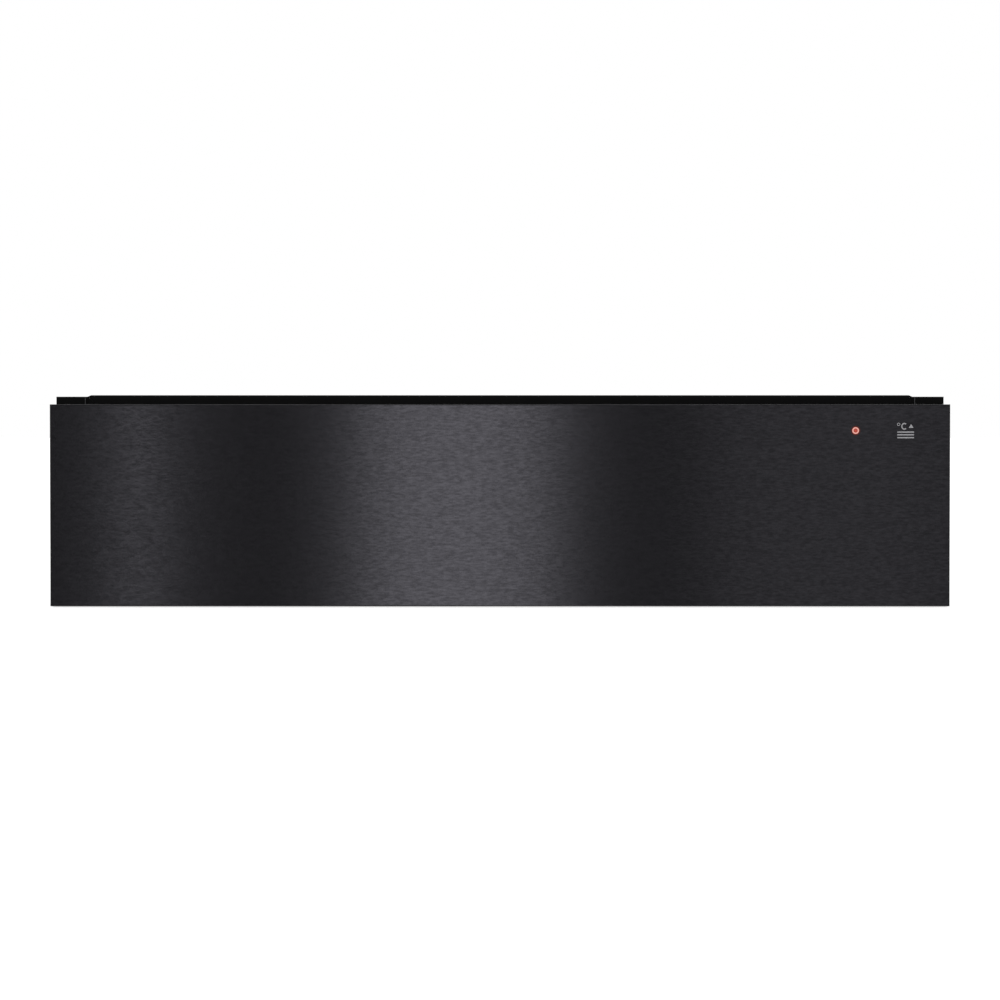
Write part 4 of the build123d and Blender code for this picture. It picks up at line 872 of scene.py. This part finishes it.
class DRAWER_OT_tub(Operator):
    """Drawn stainless tub with rounded corners, a turned rim and the air window"""

    bl_idname = "drawer.tub"
    bl_label = "Tub"

    def execute(self, context):
        sizes = context.scene.drawer_tub
        rim_low, rim_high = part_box("tub")
        low = rim_low + Vector((sizes.rim_side, sizes.rim_front, 0))
        high = rim_high - Vector((sizes.rim_side, sizes.rim_back, sizes.sheet))
        tub = add_block("tub_bowl", low, high)
        round_edges(tub, along(Z), sizes.corner, 10)
        pick(tub, "FACE", facing(Z))
        bpy.ops.mesh.delete(type="ONLY_FACE")
        round_edges(tub, level_at(Z, low.z), sizes.foot, 7)

        # the open edge spreads out into the rim
        pick(tub, "EDGE", lambda e: e.is_boundary)
        bpy.ops.mesh.extrude_edges_move(TRANSFORM_OT_translate={"value": (0, 0, 0)})
        wide, deep = rim_high.x - rim_low.x, rim_high.y - rim_low.y
        centre = (low + high) / 2
        bpy.ops.transform.resize(
            value=(wide / (high.x - low.x), deep / (high.y - low.y), 1), center_override=centre
        )
        bpy.ops.transform.translate(value=(0, (rim_low.y + rim_high.y) / 2 - centre.y, 0))
        leave_edit()

        def inside_rim(edge):
            wall_and_rim = len({near(f.normal.z, 0, 0.1) for f in edge.link_faces}) == 2
            return level_at(Z, high.z)(edge) and not edge.is_boundary and wall_and_rim

        round_edges(tub, inside_rim, sizes.rim_bend)
        use_modifier(tub, "SOLIDIFY", thickness=sizes.sheet, offset=-1.0, use_even_offset=True)
        grille_low, grille_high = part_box("air_grille")
        lap, reach = sizes.window_lap, sizes.sheet + CLEAR
        window = add_block(
            "window",
            (grille_low.x + lap, high.y - reach, grille_low.z + lap),
            (grille_high.x - lap, high.y + reach, grille_high.z - lap),
        )
        round_edges(window, along(Y), sizes.window_corner, 5)
        cut(tub, window)
        set_down(tub, "drawer", stainless())
        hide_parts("tub")
        return {"FINISHED"}


class DRAWER_OT_mat(Operator):
    """Silicone mat on the tub's floor"""

    bl_idname = "drawer.mat"
    bl_label = "Mat"

    def execute(self, context):
        sizes = context.scene.drawer_mat
        low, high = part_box("non_slip_mat")
        mat = add_block("mat_sheet", low, high)
        round_edges(mat, along(Z), sizes.corner, 8)
        round_edges(mat, level_at(Z, high.z), sizes.edge)
        pick(mat, "FACE", facing(Z))
        inset(sizes.border)
        inset(sizes.slope)
        bpy.ops.transform.translate(value=(0, 0, -sizes.sunk))
        leave_edit()
        silicone = finish(silicone_mat, "silicone_mat", colours().mat)
        set_down(mat, "drawer", silicone)
        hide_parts("non_slip_mat")
        return {"FINISHED"}


class DRAWER_OT_temperature_wheel(Operator):
    """Ribbed wheel with a smooth band of numbers, on its spindle"""

    bl_idname = "drawer.temperature_wheel"
    bl_label = "Temperature wheel"

    def execute(self, context):
        sizes = context.scene.drawer_control
        facets = 96
        joint = next(j for j in frame["joints"] if j["name"] == "temperature_turn")
        hub = Vector(joint["pos_m"])
        low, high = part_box("temperature_wheel")
        inner, half = (high.z - low.z) / 2 - sizes.rib_height, sizes.width / 2
        ribs_start, ribs_end = sizes.band / 2, half - sizes.plain_edge
        wheel = add_rod("wheel_rim", hub - X * half, hub + X * half, inner, facets)
        for side in (-1, 1):
            for reach in (ribs_start, ribs_end):
                pick_all(wheel)
                bpy.ops.mesh.bisect(plane_co=hub + X * side * reach, plane_no=X)
                leave_edit()

        def facet(face):
            """The number of this facet round the wheel."""
            arm = middle(face) - hub
            turned = Vector((arm.y, arm.z)).angle_signed(Vector((1, 0))) % tau
            return round(turned / tau * facets - 0.5)

        def ribbed(face):
            """Two facets of every three, between the band and the plain edge."""
            reach = abs(middle(face).x - hub.x)
            return abs(face.normal.x) < 0.1 and ribs_start < reach < ribs_end and facet(face) % 3 < 2

        pick(wheel, "FACE", ribbed)
        swell(sizes.rib_height)
        leave_edit()
        pick(wheel, "FACE", lambda f: abs(f.normal.x) > 0.9 and near(abs(middle(f).x - hub.x), half, 1e-5))
        inset(sizes.dish_rim)
        swell(-sizes.dish_depth)
        leave_edit()
        spindle = add_rod("spindle", (low.x, hub.y, hub.z), (high.x, hub.y, hub.z), sizes.spindle_radius, 24)
        round_edges(spindle, lambda e: not along(X)(e), radius=0.0003, segments=2)
        wheel = join("wheel_ribbed", [wheel, spindle])
        set_down(wheel, "temperature_wheel", black_plastic())
        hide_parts("temperature_wheel")

        # off and four settings, each a step further round, just clear of the rim
        settings, step, lift = 5, radians(66), 0.00002
        digits = []
        for count in range(settings):
            clear_selection()
            bpy.ops.object.text_add(location=(0, 0, 0))
            text = bpy.context.object.data
            text.body, text.size, text.extrude = str(count), sizes.digit, sizes.digit_depth
            text.align_x, text.align_y, text.resolution_u = "CENTER", "CENTER", 3
            bpy.ops.object.convert(target="MESH")
            digit = bpy.context.object
            on_rim = Matrix.Rotation(-step * count, 4, "X") @ Matrix.Translation(Z * (inner + lift))
            digit.data.transform(Matrix.Translation(hub) @ on_rim)
            digits.append(digit)
        white = finish(printed, "white_print", (0.72, 0.72, 0.7))
        set_down(join("wheel_digits", digits), "temperature_wheel", white)
        return {"FINISHED"}


class DRAWER_OT_fasteners(Operator):
    """Pan-head screws with a cross recess, and domed rivets, at every place in the frame"""

    bl_idname = "drawer.fasteners"
    bl_label = "Fasteners"

    def head(self, radius, height, rounding):
        """A round head on its seat; rounding is a part of its height."""
        head = add_rod("head", (0, 0, 0), (0, 0, height), radius, 24)
        round_edges(head, level_at(Z, height), height * rounding, 4)
        return head

    def screw(self, radius, height):
        head = self.head(radius, height, 0.55)
        arm, half_arm, deep = radius * 0.62, radius * 0.13, height * 0.6
        for long, wide in ((arm, half_arm), (half_arm, arm)):
            cut(head, add_block("recess", (-long, -wide, height - deep), (long, wide, height * 2)))
        return head

    def rivet(self, radius, height):
        head = self.head(radius, height, 0.8)
        pick(head, "FACE", facing(Z))
        inset(radius * 0.05)
        inset(radius * 0.08)
        bpy.ops.transform.translate(value=(0, 0, -height * 0.25))
        leave_edit()
        return head

    def places(self, node):
        """For each solid: its middle, the way its head faces, its length, and the radii of head and shank."""
        for points in solids(node):
            low, high = box_of(points)
            size, centre = high - low, (low + high) / 2
            axis = min(range(3), key=lambda i: size[i])
            across = [i for i in range(3) if i != axis]
            ends = []
            for way, end in ((-1, low[axis]), (1, high[axis])):
                rim = [p for p in points if near(p[axis], end)]
                ends.append((max(abs(p[i] - centre[i]) for p in rim for i in across), way))
            shank, facing_way = min(ends)[0], max(ends)[1]
            outward = Vector([facing_way if i == axis else 0 for i in range(3)])
            yield centre, outward, size[axis], max(size[i] for i in across) / 2, shank

    def execute(self, context):
        height = 0.002  # of every head
        steel = finish(zinc_plate, "screw_steel", (0.6, 0.6, 0.6))
        for node, name, body, make in (
            ("tub_screws", "tub_screw_heads", "drawer", self.screw),
            ("grille_screws", "grille_screw_heads", "drawer", self.screw),
            ("cover_screws", "cover_screw_heads", "chassis", self.screw),
            ("body_rivets", "body_rivet_heads", "chassis", self.rivet),
        ):
            found = list(self.places(node))
            _, _, whole, radius, shank = found[0]
            rod = add_rod("shank", (0, 0, height - whole), (0, 0, height * 0.2), shank, 16)
            master = join("master", [make(radius, height), rod])
            copies = []
            for count, (centre, outward, whole, _, _) in enumerate(found):
                seat = centre + outward * (whole / 2 - height)
                turn = outward.to_track_quat("Z", "Y").to_matrix().to_4x4()
                spin = Matrix.Rotation(radians(37 * count), 4, "Z")  # no two stand alike
                copies.append(copy_at(master, Matrix.Translation(seat) @ turn @ spin))
            bpy.data.objects.remove(master)
            group = set_down(join(name, copies), body, steel)
            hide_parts(node)
        return {"FINISHED"}


class DRAWER_OT_ball_cages(Operator):
    """Pressed cages with their smooth balls"""

    bl_idname = "drawer.ball_cages"
    bl_label = "Ball cages"

    def execute(self, context):
        bright = finish(zinc_plate, "ball_steel", (0.8, 0.8, 0.8))
        longest_ball = 0.01  # a cage is longer than this
        for node in [n for n in frame["nodes"] if n.startswith("ball_cage")]:
            boxes = [box_of(points) for points in solids(node)]
            boxes = [(low, high) for low, high in boxes if high.y - low.y < longest_ball]
            balls = [(low + high) / 2 for low, high in boxes]
            radius = max(high.y - low.y for low, high in boxes) / 2
            cage = copy_at(frame["nodes"][node], Matrix())
            # the copy is a piece of its own, so it keeps no note or parent of the node
            for key in list(cage.keys()):
                del cage[key]
            cage.parent = None
            cage.name = cage.data.name = node + "_sheet"
            merge_points(cage)
            leave_edit()
            # the frame's coarse balls make way for smooth ones
            pick(cage, "VERT", lambda v: any((v.co - ball).length < radius * 1.02 for ball in balls))
            bpy.ops.mesh.delete(type="VERT")
            leave_edit()
            set_down(cage, node, zinc())
            smooth = [add_ball("ball", ball, radius) for ball in balls]
            row = set_down(join(node + "_balls", smooth), node, bright)
            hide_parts(node)
            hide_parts(node)
        return {"FINISHED"}


class DRAWER_OT_finishes(Operator):
    """Finishes of the pieces whose shape comes from the frame"""

    bl_idname = "drawer.finishes"
    bl_label = "Finishes"

    def execute(self, context):
        # the frame's black is partly its powder coat and partly painted shade
        matt = {"roughness": 0.55, "gloss": 0.04}
        frame_coat_and_painted_shade = finish(powder_coat, "black_powder_coat", colours().coat, **matt)
        dress(("frame_top_rail", "frame_sill", "frame_stile_left", "frame_stile_right"), frame_coat_and_painted_shade)
        dress(("deck",), finish(powder_coat, "deck_coat", colours().deck, roughness=0.36))
        dress(
            (
                "base_pan", "side_panel_left", "side_panel_right", "rear_panel", "top_cover", "fan_housing",
                "fascia_backing", "fascia_bracket_left", "fascia_bracket_right", "slide_bracket_left",
                "slide_bracket_right", "latch_strikers", "heater_clips", "bearing_strap_front",
                "bearing_strap_back", "motor_posts",
            ),
            finish(galvanised_sheet, "galvanised_sheet", colours().galvanised),
        )
        dress([n for n in frame["nodes"] if n.startswith("slide_") and "bracket" not in n], zinc())
        dress(("fan_nut", "motor_shaft"), zinc())
        dress(("air_grille",), stainless())
        dress(("bumper_pads",), finish(rubber, "bumper_rubber", (0.02, 0.02, 0.02)))
        dress(("control_housing", "thermal_cutout", "cable_gland", "gland_nut"), black_plastic())
        white = finish(moulded_plastic, "white_plastic", (0.72, 0.71, 0.67), roughness=0.42)
        dress(("terminal_block", "harness_connector"), white)
        grey = finish(moulded_plastic, "grey_plastic", (0.19, 0.2, 0.215), roughness=0.5)
        dress(("push_latches", "thermostat", "harness_clips"), grey)
        dress(("fan_wheel",), finish(rolled_aluminium, "rolled_aluminium", (0.74, 0.75, 0.77)))
        dress(("ring_heater",), finish(heated_tube, "heated_tube", (0.11, 0.12, 0.17), (0.3, 0.22, 0.15)))
        core = finish(stacked_laminations, "stacked_laminations", (0.15, 0.16, 0.2), (0.3, 0.3, 0.32))
        dress(("motor_core",), core)
        dress(("motor_coil",), finish(wound_copper, "wound_copper", (0.2, 0.05, 0.02), (0.5, 0.16, 0.06)))
        dress(("drawer_harness", "wiring_loom"), finish(rubber, "cable_sleeve", colours().cable))
        return {"FINISHED"}


# ---------- stage
class DRAWER_OT_stage(Operator):
    """Pale floor, white surroundings, soft lamps and the camera"""

    bl_idname = "drawer.stage"
    bl_label = "Stage"

    def soft_lamp(self, name, place, aim, width, height, radiance):
        light = bpy.data.lights.new(name, "AREA")
        light.shape, light.size, light.size_y = "RECTANGLE", width, height
        light.energy = radiance * pi * width * height
        lamp = bpy.data.objects.new(name, light)
        lamp.location = place
        lamp.rotation_mode = "QUATERNION"
        lamp.rotation_quaternion = (Vector(aim) - Vector(place)).to_track_quat("-Z", "Y")
        lamp.visible_camera = False
        bpy.context.collection.objects.link(lamp)

    def surroundings(self):
        """White where it is looked at or mirrored, a little softer as light."""
        world = bpy.data.worlds.new("white_surroundings")
        world.use_nodes = True
        bpy.context.scene.world = world
        tree = world.node_tree
        link = tree.links.new
        back = tree.nodes["Background"]
        back.inputs["Color"].default_value = (1, 1, 1, 1)
        path = add_node(tree, "ShaderNodeLightPath")
        level = add_node(tree, "ShaderNodeMapRange", To_Min=0.8, To_Max=1.0)
        seen = add_node(tree, "ShaderNodeMath", operation="MAXIMUM")
        through = add_node(tree, "ShaderNodeMath", operation="MAXIMUM")
        link(path.outputs["Is Camera Ray"], seen.inputs[0])
        link(path.outputs["Is Glossy Ray"], seen.inputs[1])
        link(seen.outputs[0], through.inputs[0])
        link(path.outputs["Is Transmission Ray"], through.inputs[1])
        link(through.outputs[0], level.inputs["Value"])
        link(level.outputs["Result"], back.inputs["Strength"])

    def floor_finish(self):
        """White to the eye, and it still takes a shadow."""
        material = start_finish("pale_floor", (0.86, 0.86, 0.86), Roughness=0.8)
        tree = material.node_tree
        link = tree.links.new
        path = add_node(tree, "ShaderNodeLightPath")
        level = add_node(tree, "ShaderNodeMapRange", To_Min=0.0, To_Max=0.55)
        lit = add_node(tree, "ShaderNodeEmission")
        both = add_node(tree, "ShaderNodeAddShader")
        # in the drawer's brushed front the floor shows as polished, with the lamps in it
        polish = add_node(tree, "ShaderNodeBsdfAnisotropic", Color=(0.95, 0.95, 0.95, 1), Roughness=0.1)
        mixed = add_node(tree, "ShaderNodeMixShader")
        link(path.outputs["Is Camera Ray"], level.inputs["Value"])
        link(level.outputs["Result"], lit.inputs["Strength"])
        link(shader_of(material).outputs["BSDF"], both.inputs[0])
        link(lit.outputs["Emission"], both.inputs[1])
        link(path.outputs["Is Glossy Ray"], mixed.inputs["Fac"])
        link(both.outputs["Shader"], mixed.inputs[1])
        link(polish.outputs["BSDF"], mixed.inputs[2])
        link(mixed.outputs["Shader"], tree.nodes["Material Output"].inputs["Surface"])
        return material

    def execute(self, context):
        sizes = context.scene.drawer_stage
        clear_selection()
        bpy.ops.mesh.primitive_plane_add(size=24, location=(0, 0, -0.0003))
        floor = named("floor")
        floor.data.materials.append(self.floor_finish())
        self.surroundings()

        # each strip is mirrored in the brushed front as one soft upright band
        front = cad_box[0].y
        strip_y, strip_middle, strip_height = front - sizes.distance - 0.05, 0.81, 1.6
        for name, x, width, radiance in (
            ("band_left", -0.485, 0.04, 9.6),
            ("band_middle", -0.058, 0.256, 8.2),
            ("band_right", 0.46, 0.36, 1.5),
        ):
            place, aim = (x, strip_y, strip_middle), (x, front, strip_middle)
            self.soft_lamp(name, place, aim, width, strip_height, radiance)
        self.soft_lamp("overhead", (0.3, -0.5, 2.3), (0, 0, 0), width=1.6, height=1.2, radiance=0.9)

        view = bpy.data.cameras.new("camera")
        view.sensor_width, view.lens = 36, sizes.lens
        view.clip_start, view.clip_end = 0.05, 60
        camera = bpy.data.objects.new("camera", view)
        camera.location = (0, front - sizes.distance, sizes.camera_height)
        camera.rotation_mode = "QUATERNION"
        aim = Vector((0, front, sizes.aim_height)) - camera.location
        camera.rotation_quaternion = aim.to_track_quat("-Z", "Y")
        context.collection.objects.link(camera)
        context.scene.camera = camera
        context.scene.view_settings.view_transform = "Standard"
        return {"FINISHED"}


# ---------- panel and registration
STEPS = (
    DRAWER_OT_stage,
    DRAWER_OT_finishes,
    DRAWER_OT_flange_folds,
    DRAWER_OT_front,
    DRAWER_OT_indicator,
    DRAWER_OT_front_marks,
    DRAWER_OT_tub,
    DRAWER_OT_mat,
    DRAWER_OT_temperature_wheel,
    DRAWER_OT_fasteners,
    DRAWER_OT_ball_cages,
)
SETTINGS = {
    "drawer_front": FrontSizes,
    "drawer_lamp": LampSizes,
    "drawer_frame": FrameSizes,
    "drawer_tub": TubSizes,
    "drawer_mat": MatSizes,
    "drawer_control": ControlSizes,
    "drawer_colours": Colours,
    "drawer_stage": StageSizes,
}


class DRAWER_PT_panel(Panel):
    """Lists the pieces of the warming drawer and their sizes"""

    bl_idname = "DRAWER_PT_panel"
    bl_label = "Warming Drawer"
    bl_space_type = "VIEW_3D"
    bl_region_type = "UI"
    bl_category = "Warming Drawer"

    def draw(self, context):
        for step in STEPS:
            self.layout.operator(step.bl_idname)
        for name, group in SETTINGS.items():
            box = self.layout.box()
            for setting in group.__annotations__:
                box.prop(getattr(context.scene, name), setting)


def register():
    for name, group in SETTINGS.items():
        bpy.utils.register_class(group)
        setattr(bpy.types.Scene, name, bpy.props.PointerProperty(type=group))
    for step in STEPS:
        bpy.utils.register_class(step)
    bpy.utils.register_class(DRAWER_PT_panel)


def unregister():
    bpy.utils.unregister_class(DRAWER_PT_panel)
    for step in reversed(STEPS):
        bpy.utils.unregister_class(step)
    for name, group in SETTINGS.items():
        delattr(bpy.types.Scene, name)
        bpy.utils.unregister_class(group)


def main():
    register()
    for step in STEPS:
        family, name = step.bl_idname.split(".")
        getattr(getattr(bpy.ops, family), name)()
    clear_selection()


if __name__ == "__main__":
    main()
